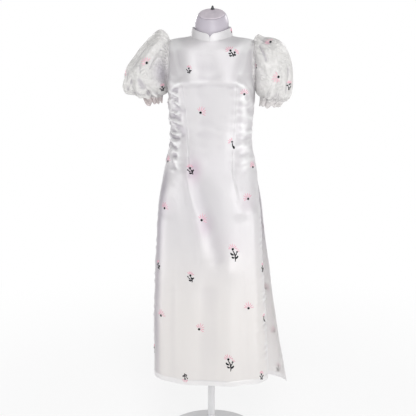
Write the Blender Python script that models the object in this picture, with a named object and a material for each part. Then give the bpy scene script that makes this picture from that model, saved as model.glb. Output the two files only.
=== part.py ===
"""An ao dai tunic with puff sleeves, standing on a limbless dress form.

Metres, +Z up. The front faces -Y, and left and right are the wearer's: left is +X.
The origin lies on the floor under the pole. Each cut piece is a thin wall of its own.
"""
import math
from typing import NamedTuple

import bpy
import numpy as np

# Cloth
WALL = 0.0013
SEAM_GAP = 0.0005
SEAT_GAP = 0.0003
SLANTED_SEAT_GAP = 0.00036
BODICE_GAP = 0.0048
SHOULDER_GAP = 0.0015
SLEEVE_LIFT = 0.0004
ARMHOLE_INSET_DEGREES = 0.4
LOOP_HALF_RISE = 0.485

# Heights of the figure
HEM_FRONT_Z = 0.231
HEM_BACK_Z = 0.200
NECK_FRONT_Z = 1.401
NECK_SIDE_Z = 1.417
NECK_BACK_Z = 1.424
NECK_REACH = 0.0695
NECK_FRONT = 0.0645
NECK_BACK = 0.0575
COLLAR_RIM_FRONT_Z = 1.4245
COLLAR_RIM_SIDE_Z = 1.444
COLLAR_RIM_BACK_Z = 1.455

# Collar notch
NOTCH_HALF_WIDTH = 0.017
NOTCH_FLOOR = 0.0045
COLLAR_LEAN = 0.0035

# Dress form
FORM_BOTTOM_Z = 0.70
FORM_ROUNDER = 0.3
CAP_SLOPE = 0.45
CAP_THICK = 0.003
CAP_DOME = 0.0015
CAP_DOME_SHARE = 0.9
CAP_REACH = 0.0425
CAP_DEPTH = 0.0388
NECK_CENTRE_Y = -0.003
NECK_TOP_Z = 1.4875
KNOB_RADIUS = 0.007
KNOB_TIP_RADIUS = 0.003
KNOB_HEIGHT = 0.011
KNOB_BACK = 0.028
POLE_RADIUS = 0.0125
BASE_RADIUS = 0.160
BASE_THICK = 0.012
BASE_EDGE = 0.003
HUB_RADIUS = 0.024
HUB_TOP_Z = 0.052
SOCKET_FLOOR_Z = 0.014

NECK_SHIFT = np.array([0.0, NECK_CENTRE_Y, 0.0])

# Grid counts
FRONT_COLUMNS = 26
BACK_COLUMNS = 12
COLLAR_COLUMNS = 14
COLLAR_ROWS = 3
SLEEVE_COLUMNS = 56
SLEEVE_WAVES = 14
GATHER_UNEVEN = 0.25
GATHER_LUMPS = 3
FORM_COLUMNS = 36
ROUND_SEGMENTS = 32
CURVE_SAMPLES = 181
SHARP_DEGREES = 50
PROBE_DEGREES = 0.5
PROBE_LEVEL = 0.02


class Ring(NamedTuple):
    """A ring of cloth round the body.

    Heights at the side, front and back, reaches from the axis to the right, left, front and back,
    squareness (2 is an ellipse), and where a panel ends on its right and left, in degrees from
    its own centre line.
    """

    side_z: float
    front_z: float
    back_z: float
    right: float
    left: float
    front: float
    back: float
    square: float
    right_edge: float
    left_edge: float


class BodyRow(NamedTuple):
    """A row that front and back share, with the angle at which each is cut for side or armhole."""

    side_z: float
    front_z: float
    back_z: float
    right: float
    left: float
    front: float
    back: float
    square: float
    front_cut: float
    back_cut: float


class SkirtRow(NamedTuple):
    """A row of one hanging panel below the slits."""

    z: float
    right: float
    left: float
    depth: float
    square: float
    right_edge: float
    left_edge: float


class FormRow(NamedTuple):
    """A level ring of the dress form below the arms."""

    z: float
    reach: float
    front: float
    back: float
    square: float


class NeckRow(NamedTuple):
    """A slanted ring of the form's neck."""

    z: float
    reach: float
    depth: float
    slope: float


class SleeveRow(NamedTuple):
    """A ring of a sleeve: its upper and under points, its depths, how deep its gathers are, and
    the share of that depth at the under point."""

    top_x: float
    top_z: float
    under_x: float
    under_z: float
    front: float
    back: float
    gather: float
    under_share: float


class Fold(NamedTuple):
    """A soft ridge or trough on a panel, from one point to another, seen from the front."""

    x0: float
    z0: float
    x1: float
    z1: float
    width: float
    height: float


FRONT_SKIRT = (
    SkirtRow(HEM_FRONT_Z, 0.203, 0.207, 0.130, 2.6, 80, 77),
    SkirtRow(0.300, 0.203, 0.205, 0.130, 2.6, 80, 78),
    SkirtRow(0.380, 0.203, 0.200, 0.128, 2.6, 80, 79),
    SkirtRow(0.460, 0.202, 0.195, 0.126, 2.6, 80, 80),
    SkirtRow(0.540, 0.200, 0.190, 0.124, 2.6, 80, 80),
    SkirtRow(0.620, 0.197, 0.184, 0.122, 2.6, 80, 81),
    SkirtRow(0.700, 0.193, 0.178, 0.120, 2.6, 80, 81),
    SkirtRow(0.780, 0.189, 0.172, 0.118, 2.6, 80, 82),
    SkirtRow(0.860, 0.182, 0.1655, 0.116, 2.5, 80, 83),
    SkirtRow(0.920, 0.1720, 0.1585, 0.112, 2.5, 82, 86),
)

BACK_SKIRT = (
    SkirtRow(HEM_BACK_Z, 0.210, 0.272, 0.104, 2.2, 82, 84),
    SkirtRow(0.290, 0.209, 0.257, 0.106, 2.2, 82, 84),
    SkirtRow(0.380, 0.207, 0.239, 0.108, 2.3, 82, 84),
    SkirtRow(0.460, 0.204, 0.226, 0.110, 2.3, 83, 84),
    SkirtRow(0.540, 0.200, 0.213, 0.112, 2.3, 83, 85),
    SkirtRow(0.620, 0.196, 0.203, 0.114, 2.4, 84, 85),
    SkirtRow(0.700, 0.192, 0.192, 0.117, 2.4, 85, 86),
    SkirtRow(0.780, 0.188, 0.1815, 0.120, 2.4, 86, 87),
    SkirtRow(0.860, 0.182, 0.1710, 0.121, 2.4, 86, 87),
    SkirtRow(0.920, 0.1730, 0.1595, 0.117, 2.4, 87, 88),
)

BODY_ROWS = (
    BodyRow(0.965, 0.965, 0.965, 0.1635, 0.1540, 0.107, 0.110, 2.4, 87, 88),
    BodyRow(1.005, 1.005, 1.005, 0.1560, 0.1465, 0.100, 0.099, 2.4, 90, 90),
    BodyRow(1.035, 1.035, 1.035, 0.1485, 0.1400, 0.095, 0.090, 2.4, 90, 90),
    BodyRow(1.069, 1.069, 1.069, 0.1425, 0.1355, 0.091, 0.083, 2.3, 90, 90),
    BodyRow(1.103, 1.103, 1.103, 0.1405, 0.1360, 0.090, 0.079, 2.3, 90, 90),
    BodyRow(1.137, 1.137, 1.137, 0.1425, 0.1390, 0.093, 0.081, 2.4, 90, 90),
    BodyRow(1.171, 1.171, 1.171, 0.1450, 0.1425, 0.099, 0.086, 2.5, 90, 90),
    BodyRow(1.205, 1.207, 1.205, 0.1460, 0.1450, 0.107, 0.091, 2.7, 90, 90),
    BodyRow(1.237, 1.242, 1.237, 0.1465, 0.1465, 0.115, 0.095, 2.9, 90, 90),
    BodyRow(1.262, 1.268, 1.262, 0.1470, 0.1470, 0.119, 0.098, 3.0, 76, 77),
    BodyRow(1.295, 1.294, 1.292, 0.1470, 0.1470, 0.113, 0.100, 2.9, 68, 70),
    BodyRow(1.330, 1.319, 1.324, 0.1475, 0.1475, 0.103, 0.100, 2.7, 66, 67),
    BodyRow(1.362, 1.340, 1.352, 0.1475, 0.1475, 0.095, 0.097, 2.5, 68, 67),
    BodyRow(1.388, 1.356, 1.376, 0.1455, 0.1455, 0.088, 0.091, 2.4, 75, 73),
    BodyRow(1.404, 1.368, 1.391, 0.1370, 0.1370, 0.083, 0.084, 2.3, 90, 90),
    BodyRow(1.409, 1.377, 1.402, 0.1180, 0.1180, 0.078, 0.077, 2.2, 90, 90),
    BodyRow(1.412, 1.386, 1.411, 0.0970, 0.0970, 0.073, 0.070, 2.1, 90, 90),
    BodyRow(1.4145, 1.394, 1.418, 0.0800, 0.0800, 0.0685, 0.063, 2.1, 90, 90),
    BodyRow(NECK_SIDE_Z, NECK_FRONT_Z, NECK_BACK_Z, NECK_REACH, NECK_REACH, NECK_FRONT, NECK_BACK,
            2.0, 90, 90),
)
BODY_STEPS = (2, 1, 1, 1, 1, 1, 1, 1, 2, 2, 1, 1, 2, 2, 1, 1, 1, 1)
ARMPIT_ROW = 8
SHOULDER_TIP_ROW = 14

FORM_ROWS = (
    FormRow(FORM_BOTTOM_Z, 0.1520, 0.088, 0.096, 2.2),
    FormRow(0.706, 0.1550, 0.091, 0.099, 2.2),
    FormRow(0.760, 0.1610, 0.097, 0.108, 2.2),
    FormRow(0.820, 0.1635, 0.101, 0.113, 2.3),
    FormRow(0.870, 0.1620, 0.102, 0.113, 2.3),
    FormRow(0.920, 0.1560, 0.100, 0.108, 2.3),
    FormRow(0.965, 0.1490, 0.097, 0.100, 2.3),
    FormRow(1.005, 0.1425, 0.092, 0.091, 2.2),
    FormRow(1.050, 0.1335, 0.085, 0.080, 2.2),
    FormRow(1.103, 0.1310, 0.081, 0.073, 2.2),
    FormRow(1.150, 0.1365, 0.087, 0.078, 2.3),
    FormRow(1.195, 0.1420, 0.097, 0.086, 2.4),
)

NECK_ROWS = (
    NeckRow(1.424, 0.0600, 0.0525, 0.10),
    NeckRow(1.438, 0.0570, 0.0510, 0.25),
    NeckRow(1.460, 0.0562, 0.0505, CAP_SLOPE),
    NeckRow(1.472, 0.0535, 0.0485, CAP_SLOPE),
    NeckRow(1.482, 0.0495, 0.0450, CAP_SLOPE),
    NeckRow(NECK_TOP_Z, 0.0452, 0.0413, CAP_SLOPE),
)

RIGHT_SLEEVE = (
    SleeveRow(0.1470, 1.4170, 0.1500, 1.2310, 0.057, 0.057, 0.0030, 0.6),
    SleeveRow(0.1600, 1.4290, 0.1520, 1.2280, 0.071, 0.069, 0.0045, 0.3),
    SleeveRow(0.1790, 1.4310, 0.1540, 1.2258, 0.082, 0.078, 0.0040, 0.2),
    SleeveRow(0.2060, 1.4130, 0.1558, 1.2242, 0.087, 0.083, 0.0028, 0.2),
    SleeveRow(0.2330, 1.3850, 0.1575, 1.2230, 0.088, 0.084, 0.0022, 0.2),
    SleeveRow(0.2580, 1.3530, 0.1592, 1.2221, 0.086, 0.082, 0.0022, 0.2),
    SleeveRow(0.2840, 1.3180, 0.1608, 1.2214, 0.081, 0.078, 0.0028, 0.2),
    SleeveRow(0.2970, 1.2790, 0.1624, 1.2208, 0.072, 0.070, 0.0038, 0.1),
    SleeveRow(0.2910, 1.2460, 0.1641, 1.2203, 0.060, 0.059, 0.0042, 0.1),
    SleeveRow(0.2670, 1.2310, 0.1658, 1.2198, 0.048, 0.048, 0.0032, 0.1),
    SleeveRow(0.2400, 1.2290, 0.1676, 1.2185, 0.038, 0.038, 0.0018, 0.4),
    SleeveRow(0.2390, 1.2140, 0.1672, 1.2080, 0.040, 0.040, 0.0034, 0.8),
    SleeveRow(0.2410, 1.1970, 0.1650, 1.1920, 0.044, 0.044, 0.0055, 0.8),
)

LEFT_SLEEVE = (
    SleeveRow(0.1460, 1.4140, 0.1500, 1.2310, 0.056, 0.056, 0.0030, 0.6),
    SleeveRow(0.1560, 1.4190, 0.1516, 1.2278, 0.069, 0.068, 0.0045, 0.3),
    SleeveRow(0.1750, 1.4120, 0.1532, 1.2254, 0.079, 0.076, 0.0040, 0.2),
    SleeveRow(0.2020, 1.4110, 0.1546, 1.2236, 0.084, 0.081, 0.0028, 0.2),
    SleeveRow(0.2300, 1.3990, 0.1559, 1.2221, 0.086, 0.083, 0.0022, 0.2),
    SleeveRow(0.2520, 1.3700, 0.1572, 1.2209, 0.085, 0.082, 0.0022, 0.2),
    SleeveRow(0.2660, 1.3300, 0.1585, 1.2199, 0.080, 0.078, 0.0028, 0.2),
    SleeveRow(0.2710, 1.2850, 0.1598, 1.2191, 0.071, 0.070, 0.0038, 0.1),
    SleeveRow(0.2680, 1.2420, 0.1611, 1.2184, 0.060, 0.059, 0.0042, 0.1),
    SleeveRow(0.2550, 1.2210, 0.1625, 1.2177, 0.048, 0.048, 0.0032, 0.1),
    SleeveRow(0.2350, 1.2200, 0.1640, 1.2160, 0.038, 0.038, 0.0018, 0.4),
    SleeveRow(0.2340, 1.2080, 0.1634, 1.2060, 0.040, 0.040, 0.0034, 0.8),
    SleeveRow(0.2350, 1.1940, 0.1612, 1.1900, 0.044, 0.044, 0.0055, 0.8),
)

FRONT_FOLDS = (
    Fold(-0.070, 0.960, -0.014, 0.700, 0.016, 0.0040),
    Fold(-0.098, 0.930, -0.050, 0.660, 0.018, -0.0030),
    Fold(0.074, 0.970, 0.098, 0.840, 0.014, 0.0030),
    Fold(0.150, 0.830, 0.168, 0.260, 0.013, 0.0045),
    Fold(0.128, 0.800, 0.138, 0.240, 0.014, -0.0035),
    Fold(-0.150, 0.800, -0.160, 0.260, 0.015, 0.0035),
    Fold(0.020, 0.560, 0.030, 0.240, 0.022, 0.0030),
    Fold(-0.060, 0.470, -0.066, 0.240, 0.020, -0.0028),
    Fold(-0.090, 1.264, 0.090, 1.266, 0.012, 0.0028),
    Fold(-0.080, 1.236, 0.080, 1.238, 0.012, -0.0022),
    Fold(-0.118, 1.190, -0.140, 1.160, 0.010, 0.0025),
    Fold(-0.112, 1.150, -0.138, 1.115, 0.010, 0.0025),
    Fold(-0.110, 1.105, -0.136, 1.075, 0.010, 0.0025),
    Fold(-0.116, 1.060, -0.142, 1.030, 0.010, 0.0025),
    Fold(0.112, 1.180, 0.136, 1.150, 0.011, 0.0020),
    Fold(0.110, 1.120, 0.132, 1.095, 0.011, 0.0020),
    Fold(0.110, 1.060, 0.134, 1.035, 0.011, 0.0020),
)

BACK_FOLDS = (
    Fold(-0.120, 0.800, -0.135, 0.240, 0.016, 0.0040),
    Fold(-0.070, 0.700, -0.080, 0.240, 0.018, -0.0035),
    Fold(0.080, 0.780, 0.110, 0.240, 0.018, 0.0045),
    Fold(0.140, 0.760, 0.190, 0.240, 0.018, -0.0040),
    Fold(0.165, 0.700, 0.230, 0.240, 0.018, 0.0040),
    Fold(-0.110, 1.180, -0.136, 1.150, 0.011, 0.0020),
    Fold(-0.108, 1.115, -0.132, 1.090, 0.011, 0.0020),
    Fold(0.110, 1.175, 0.134, 1.145, 0.011, 0.0020),
    Fold(0.106, 1.110, 0.130, 1.085, 0.011, 0.0020),
)


def clear_scene() -> None:
    """Remove every object that the open file holds."""
    for item in list(bpy.data.objects):
        bpy.data.objects.remove(item, do_unlink=True)


def make_material(name: str, colour: tuple, roughness: float, metallic: float = 0.0):
    """Return a Principled material."""
    material = bpy.data.materials.new(name)
    material.use_nodes = True
    shader = material.node_tree.nodes["Principled BSDF"]
    shader.inputs["Base Color"].default_value = (*colour, 1.0)
    shader.inputs["Roughness"].default_value = roughness
    shader.inputs["Metallic"].default_value = metallic
    return material


def spline(values, place):
    """Read a smooth curve through evenly numbered values at the given places."""
    values = np.asarray(values, dtype=float)
    place = np.asarray(place, dtype=float)
    last = len(values) - 1
    low = np.clip(np.floor(place).astype(int), 0, last - 1)
    part = place - low
    before = values[np.maximum(low - 1, 0)]
    start = values[low]
    end = values[low + 1]
    after = values[np.minimum(low + 2, last)]
    slope = end - before
    bend = 2 * before - 5 * start + 4 * end - after
    twist = 3 * (start - end) + after - before
    return start + 0.5 * part * (slope + part * (bend + part * twist))


def column(rows, name: str, place):
    """Read one named column of a table of rows as a smooth curve."""
    return spline([getattr(row, name) for row in rows], place)


def skirt_ring(row: SkirtRow) -> Ring:
    """Turn a skirt row into a level ring."""
    return Ring(row.z, row.z, row.z, row.right, row.left, row.depth, row.depth, row.square,
                row.right_edge, row.left_edge)


def front_rings() -> list:
    """Return the front panel's rings, hem to neck."""
    body = [Ring(*row[:8], row.front_cut, row.front_cut) for row in BODY_ROWS]
    return [skirt_ring(row) for row in FRONT_SKIRT] + body


def back_rings() -> list:
    """Return the back panel's rings, hem to neck."""
    body = [Ring(*row[:8], row.back_cut, row.back_cut) for row in BODY_ROWS]
    return [skirt_ring(row) for row in BACK_SKIRT] + body


def form_rings() -> list:
    """Return the form's rings from its flat bottom to the base of its neck, inside the cloth."""
    rings = [Ring(row.z, row.z, row.z, row.reach, row.reach, row.front, row.back, row.square, 180, 180)
             for row in FORM_ROWS]
    for row in BODY_ROWS[ARMPIT_ROW:]:
        reach = min(row.right, row.left) - BODICE_GAP
        heights = (row.side_z - SHOULDER_GAP, row.front_z - BODICE_GAP, row.back_z - BODICE_GAP)
        square = max(row.square - FORM_ROUNDER, 2.0)
        rings.append(Ring(*heights, reach, reach, row.front - BODICE_GAP, row.back - BODICE_GAP,
                          square, 180, 180))
    return rings


def ring_points(rings, angle, level):
    """Return points on a family of rings, at degrees from the front towards +X and ring numbers."""
    turn = np.radians(angle)
    sine = np.sin(turn)
    cosine = np.cos(turn)
    power = 2.0 / column(rings, "square", level)
    reach = np.where(sine > 0, column(rings, "left", level), column(rings, "right", level))
    depth = np.where(cosine > 0, column(rings, "front", level), column(rings, "back", level))
    end_z = np.where(cosine > 0, column(rings, "front_z", level), column(rings, "back_z", level))
    side_z = column(rings, "side_z", level)
    x = reach * np.sign(sine) * np.abs(sine) ** power
    y = -depth * np.sign(cosine) * np.abs(cosine) ** power
    z = end_z + (side_z - end_z) * sine ** 2
    return np.stack([x, y, z], axis=-1)


def even_angles(rings, level: float, start: float, end: float, columns: int, margin: float):
    """Return angles that part a ring evenly from start to end, with a margin kept at both ends."""
    angles = np.linspace(start, end, CURVE_SAMPLES)
    points = ring_points(rings, angles, np.full(CURVE_SAMPLES, level))
    steps = np.linalg.norm(np.diff(points, axis=0), axis=1)
    run = np.concatenate([[0.0], np.cumsum(steps)])
    wanted = np.linspace(margin, run[-1] - margin, columns + 1)
    return np.interp(wanted, run, angles)


def ring_normals(rings, angle, level):
    """Return unit normals that point away from the body."""
    last = len(rings) - 1
    round_way = ring_points(rings, angle + PROBE_DEGREES, level)
    round_way = round_way - ring_points(rings, angle - PROBE_DEGREES, level)
    up_level = np.minimum(level + PROBE_LEVEL, last)
    low_level = np.maximum(level - PROBE_LEVEL, 0)
    up_way = ring_points(rings, angle, up_level) - ring_points(rings, angle, low_level)
    normal = np.cross(round_way, up_way)
    return normal / np.linalg.norm(normal, axis=-1, keepdims=True)


def fold_heights(folds, points):
    """Return how far each point is moved out by the folds."""
    total = np.zeros(points.shape[:-1])
    for fold in folds:
        along = np.array([fold.x1 - fold.x0, fold.z1 - fold.z0])
        length = np.linalg.norm(along)
        along = along / length
        from_x = points[..., 0] - fold.x0
        from_z = points[..., 2] - fold.z0
        run = (from_x * along[0] + from_z * along[1]) / length
        off = from_x * along[1] - from_z * along[0]
        past = np.maximum(np.maximum(-run, run - 1.0), 0.0) * length
        spread = (off ** 2 + past ** 2) / fold.width ** 2
        total += fold.height * np.exp(-spread)
    return total


def wall_solid(name: str, outer, inner, closed: bool, material):
    """Build one closed wall between two matching grids of points, and return its object.

    A closed grid's last column joins its first one, and both grids run up in rows.
    """
    rows, columns = outer.shape[:2]
    count = rows * columns
    points = np.concatenate([outer.reshape(-1, 3), inner.reshape(-1, 3)])
    spans = columns if closed else columns - 1
    faces = []

    def corner(row: int, col: int, layer: int) -> int:
        return layer * count + row * columns + col % columns

    for row in range(rows - 1):
        for col in range(spans):
            low, low_next = corner(row, col, 0), corner(row, col + 1, 0)
            high, high_next = corner(row + 1, col, 0), corner(row + 1, col + 1, 0)
            faces += [(low, low_next, high_next), (low, high_next, high)]
            low, low_next, high, high_next = (i + count for i in (low, low_next, high, high_next))
            faces += [(low, high_next, low_next), (low, high, high_next)]
    top = rows - 1
    for col in range(spans):
        after = col + 1
        faces += strip(corner(0, col, 1), corner(0, after, 1), corner(0, after, 0), corner(0, col, 0))
        faces += strip(corner(top, col, 0), corner(top, after, 0), corner(top, after, 1), corner(top, col, 1))
    if not closed:
        end = columns - 1
        for row in range(rows - 1):
            above = row + 1
            faces += strip(corner(row, 0, 1), corner(row, 0, 0), corner(above, 0, 0), corner(above, 0, 1))
            faces += strip(corner(row, end, 0), corner(row, end, 1), corner(above, end, 1), corner(above, end, 0))
    return add_object(name, points, faces, material)


def strip(first: int, second: int, third: int, fourth: int) -> list:
    """Split a four-sided face into two triangles."""
    return [(first, second, third), (first, third, fourth)]


def add_object(name: str, points, faces, material):
    """Make a smooth-shaded mesh object whose faces point out."""
    mesh = bpy.data.meshes.new(name)
    mesh.from_pydata([tuple(point) for point in points], [], faces)
    mesh.materials.append(material)
    mesh.validate()
    if signed_volume(points, faces) < 0:
        mesh.flip_normals()
    mesh.shade_smooth()
    mesh.set_sharp_from_angle(angle=math.radians(SHARP_DEGREES))
    item = bpy.data.objects.new(name, mesh)
    bpy.context.collection.objects.link(item)
    return item


def signed_volume(points, faces) -> float:
    """Return the volume inside the faces, negative where they point in."""
    total = 0.0
    points = np.asarray(points)
    for face in faces:
        for second, third in zip(face[1:-1], face[2:]):
            total += float(np.dot(points[face[0]], np.cross(points[second], points[third]))) / 6.0
    return total


def panel_levels(skirt_rows: int, body_steps: tuple) -> list:
    """Return the ring numbers of a panel's grid rows: each skirt row, then finer ones above."""
    levels = [float(row) for row in range(skirt_rows)]
    for row, steps in enumerate(body_steps):
        levels += [skirt_rows + row + step / steps for step in range(steps)]
    levels.append(float(skirt_rows + len(body_steps)))
    return levels


def panel_grid(rings, folds, levels, span, columns: int):
    """Return a panel's outer and inner points.

    span gives the angles between which the panel lies at a ring number.
    """
    outer = []
    inner = []
    for level in levels:
        start, end = span(level)
        angles = even_angles(rings, level, start, end, columns, SEAM_GAP / 2)
        places = np.full(columns + 1, level)
        points = ring_points(rings, angles, places)
        normals = ring_normals(rings, angles, places)
        points = points + normals * fold_heights(folds, points)[:, None]
        outer.append(points)
        inner.append(points - normals * WALL)
    return np.array(outer), np.array(inner)


def cut_angle(rings, name: str, level: float) -> float:
    """Return where a panel is cut at a ring number, never past the side seam."""
    return min(float(column(rings, name, level)), 90.0)


def build_front(cloth) -> None:
    """Build the front, one piece from hem to shoulders."""
    rings = front_rings()
    levels = panel_levels(len(FRONT_SKIRT), BODY_STEPS)

    def span(level: float) -> tuple:
        return -cut_angle(rings, "right_edge", level), cut_angle(rings, "left_edge", level)

    outer, inner = panel_grid(rings, FRONT_FOLDS, levels, span, FRONT_COLUMNS)
    wall_solid("front", outer, inner, False, cloth)


def build_backs(cloth) -> None:
    """Build the two backs, which meet in a centre seam."""
    rings = back_rings()
    levels = panel_levels(len(BACK_SKIRT), BODY_STEPS)

    def left_span(level: float) -> tuple:
        return 180.0 - cut_angle(rings, "left_edge", level), 180.0

    def right_span(level: float) -> tuple:
        return 180.0, 180.0 + cut_angle(rings, "right_edge", level)

    outer, inner = panel_grid(rings, BACK_FOLDS, levels, left_span, BACK_COLUMNS)
    wall_solid("back_left", outer, inner, False, cloth)
    outer, inner = panel_grid(rings, BACK_FOLDS, levels, right_span, BACK_COLUMNS)
    wall_solid("back_right", outer, inner, False, cloth)


def build_collars(cloth) -> None:
    """Build the stand collar's halves, from the notch at the front to the centre back."""
    seam = Ring(NECK_SIDE_Z, NECK_FRONT_Z, NECK_BACK_Z, NECK_REACH, NECK_REACH, NECK_FRONT, NECK_BACK,
                2.0, 180, 180)
    rim_reach = NECK_REACH - COLLAR_LEAN
    rim = Ring(COLLAR_RIM_SIDE_Z, COLLAR_RIM_FRONT_Z, COLLAR_RIM_BACK_Z, rim_reach, rim_reach,
               NECK_FRONT - COLLAR_LEAN, NECK_BACK - COLLAR_LEAN, 2.0, 180, 180)
    rings = [seam, rim]
    for name, start, end in (("collar_left", 0.0, 180.0), ("collar_right", 180.0, 360.0)):
        outer = []
        inner = []
        for row in range(COLLAR_ROWS + 1):
            angles = even_angles(rings, 0.0, start, end, COLLAR_COLUMNS, SEAM_GAP / 2)
            low = ring_points(rings, angles, np.zeros(COLLAR_COLUMNS + 1))
            high = ring_points(rings, angles, np.ones(COLLAR_COLUMNS + 1))
            share = collar_share(low) * row / COLLAR_ROWS
            points = low + (high - low) * share[:, None]
            points[:, 2] += SEAM_GAP
            level = np.zeros(len(low))
            away = np.stack([low[:, 0] / NECK_REACH ** 2, low[:, 1] / NECK_FRONT ** 2, level], axis=-1)
            away = away / np.linalg.norm(away, axis=1, keepdims=True)
            outer.append(points)
            inner.append(points - away * WALL)
        wall_solid(name, np.array(outer), np.array(inner), False, cloth)


def collar_share(points):
    """Return how much of the collar's height stands at each point, less at the front notch."""
    off = np.clip(np.abs(points[:, 0]) / NOTCH_HALF_WIDTH, 0.0, 1.0)
    off = np.where(points[:, 1] > 0, 1.0, off)
    full = COLLAR_RIM_FRONT_Z - NECK_FRONT_Z
    floor = NOTCH_FLOOR / full
    return floor + (1.0 - floor) * np.sqrt(1.0 - (1.0 - off) ** 2)


def armhole_edge(rings, skirt_rows: int, side: int, from_back: bool):
    """Return the levels and points of a line just inside one edge of the armhole."""
    levels = panel_levels(skirt_rows, BODY_STEPS)
    low = skirt_rows + ARMPIT_ROW
    high = skirt_rows + SHOULDER_TIP_ROW
    levels = np.array([level for level in levels if low <= level <= high])
    angles = np.array([cut_angle(rings, "left_edge", level) for level in levels])
    rise = (levels - low) / (high - low)
    angles = angles + ARMHOLE_INSET_DEGREES * np.sin(math.pi * rise)
    if from_back:
        angles = 180.0 - angles
    angles = side * angles
    points = ring_points(rings, angles, levels)
    points = points + ring_normals(rings, angles, levels) * SLEEVE_LIFT
    return rise, points


def armhole_loop(side: int):
    """Return the sleeve's first ring: just inside the armhole's edge, and just off the cloth."""
    front_rise, front_edge = armhole_edge(front_rings(), len(FRONT_SKIRT), side, False)
    back_rise, back_edge = armhole_edge(back_rings(), len(BACK_SKIRT), side, True)
    loop = []
    for step in range(SLEEVE_COLUMNS):
        turn = step * 2 * math.pi / SLEEVE_COLUMNS
        rise = 0.5 + LOOP_HALF_RISE * math.cos(turn)
        on_front = math.sin(turn) >= 0
        known = front_rise if on_front else back_rise
        edge = front_edge if on_front else back_edge
        loop.append([np.interp(rise, known, edge[:, axis]) for axis in range(3)])
    return np.array(loop)


def sleeve_ring(rows, place: float, side: int):
    """Return one ring of a sleeve at a row number, with its gathers."""
    turn = np.arange(SLEEVE_COLUMNS) * 2 * math.pi / SLEEVE_COLUMNS
    top = np.array([column(rows, "top_x", place), 0.0, column(rows, "top_z", place)])
    under = np.array([column(rows, "under_x", place), 0.0, column(rows, "under_z", place)])
    middle = (top + under) / 2
    half = (top - under) / 2
    depth = np.where(np.sin(turn) > 0, column(rows, "front", place), column(rows, "back", place))
    spoke = half[None, :] * np.cos(turn)[:, None]
    spoke[:, 1] = -depth * np.sin(turn)
    spoke_length = np.linalg.norm(spoke, axis=1, keepdims=True)
    uneven = 1.0 - GATHER_UNEVEN + GATHER_UNEVEN * np.cos(GATHER_LUMPS * turn + 1.0)
    under_share = column(rows, "under_share", place)
    share = under_share + (1.0 - under_share) * 0.5 * (1.0 + np.cos(turn))
    wave = np.cos(SLEEVE_WAVES * turn) * uneven * share * column(rows, "gather", place)
    points = middle[None, :] + spoke * (1.0 + wave[:, None] / spoke_length)
    points[:, 0] *= side
    return points


def build_sleeve(name: str, rows, side: int, sheer) -> None:
    """Build one puff sleeve, from the armhole to the frill below its elastic."""
    rings = [armhole_loop(side)]
    rings += [sleeve_ring(rows, float(place), side) for place in range(len(rows))]
    outer = np.array(rings)
    round_way = np.roll(outer, -1, axis=1) - np.roll(outer, 1, axis=1)
    along = np.empty_like(outer)
    along[1:-1] = outer[2:] - outer[:-2]
    along[0] = outer[1] - outer[0]
    along[-1] = outer[-1] - outer[-2]
    normal = np.cross(along, round_way) * -side
    normal = normal / np.linalg.norm(normal, axis=-1, keepdims=True)
    wall_solid(name, outer, outer - normal * WALL, True, sheer)


def slanted_ring(z: float, reach: float, depth: float, slope: float, columns: int):
    """Return an elliptical ring whose height rises towards the back."""
    turn = np.arange(columns) * 2 * math.pi / columns
    x = reach * np.sin(turn)
    y = -depth * np.cos(turn)
    return np.stack([x, y, z + slope * y], axis=-1)


def build_form(shell) -> None:
    """Build the dress form: hips to shoulders, and the neck up to its slanted top."""
    rings = form_rings()
    rows = []
    for level in range(len(rings)):
        angles = even_angles(rings, float(level), 0.0, 360.0, FORM_COLUMNS, 0.0)[:-1]
        rows.append(ring_points(rings, angles, np.full(FORM_COLUMNS, float(level))))
    for row in NECK_ROWS:
        rows.append(slanted_ring(row.z, row.reach, row.depth, row.slope, FORM_COLUMNS) + NECK_SHIFT)
    add_stack("form_body", rows, shell)


def add_stack(name: str, rows, material) -> None:
    """Join rings of points into one closed solid with flat ends."""
    columns = len(rows[0])
    points = np.concatenate(rows)
    faces = []
    for row in range(len(rows) - 1):
        for col in range(columns):
            low = row * columns + col
            low_next = row * columns + (col + 1) % columns
            faces += strip(low, low_next, low_next + columns, low + columns)
    faces.append(tuple(reversed(range(columns))))
    top = (len(rows) - 1) * columns
    faces.append(tuple(range(top, top + columns)))
    add_object(name, points, faces, material)


def turned(name: str, profile, material) -> None:
    """Turn a profile of (radius, z) pairs round the Z axis into one closed solid."""
    rows = []
    for radius, z in profile:
        rows.append(slanted_ring(z, radius, radius, 0.0, ROUND_SEGMENTS))
    add_stack(name, rows, material)


def build_cap_and_knob(shell, dark) -> None:
    """Build the slanted neck cap and the small knob near its back."""
    low_z = NECK_TOP_Z + SLANTED_SEAT_GAP
    rows = [
        slanted_ring(low_z, CAP_REACH, CAP_DEPTH, CAP_SLOPE, ROUND_SEGMENTS),
        slanted_ring(low_z + CAP_THICK, CAP_REACH, CAP_DEPTH, CAP_SLOPE, ROUND_SEGMENTS),
        slanted_ring(low_z + CAP_THICK + CAP_DOME, CAP_REACH * CAP_DOME_SHARE, CAP_DEPTH * CAP_DOME_SHARE,
                     CAP_SLOPE, ROUND_SEGMENTS),
    ]
    add_stack("neck_cap", [row + NECK_SHIFT for row in rows], shell)
    top_z = low_z + CAP_THICK + CAP_DOME + SLANTED_SEAT_GAP
    foot = slanted_ring(top_z, KNOB_RADIUS, KNOB_RADIUS, CAP_SLOPE, ROUND_SEGMENTS // 2)
    tip = slanted_ring(top_z + KNOB_HEIGHT, KNOB_TIP_RADIUS, KNOB_TIP_RADIUS, 0.0, ROUND_SEGMENTS // 2)
    move = NECK_SHIFT + np.array([0.0, KNOB_BACK, CAP_SLOPE * KNOB_BACK])
    add_stack("cap_knob", [foot + move, tip + move], dark)


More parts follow.
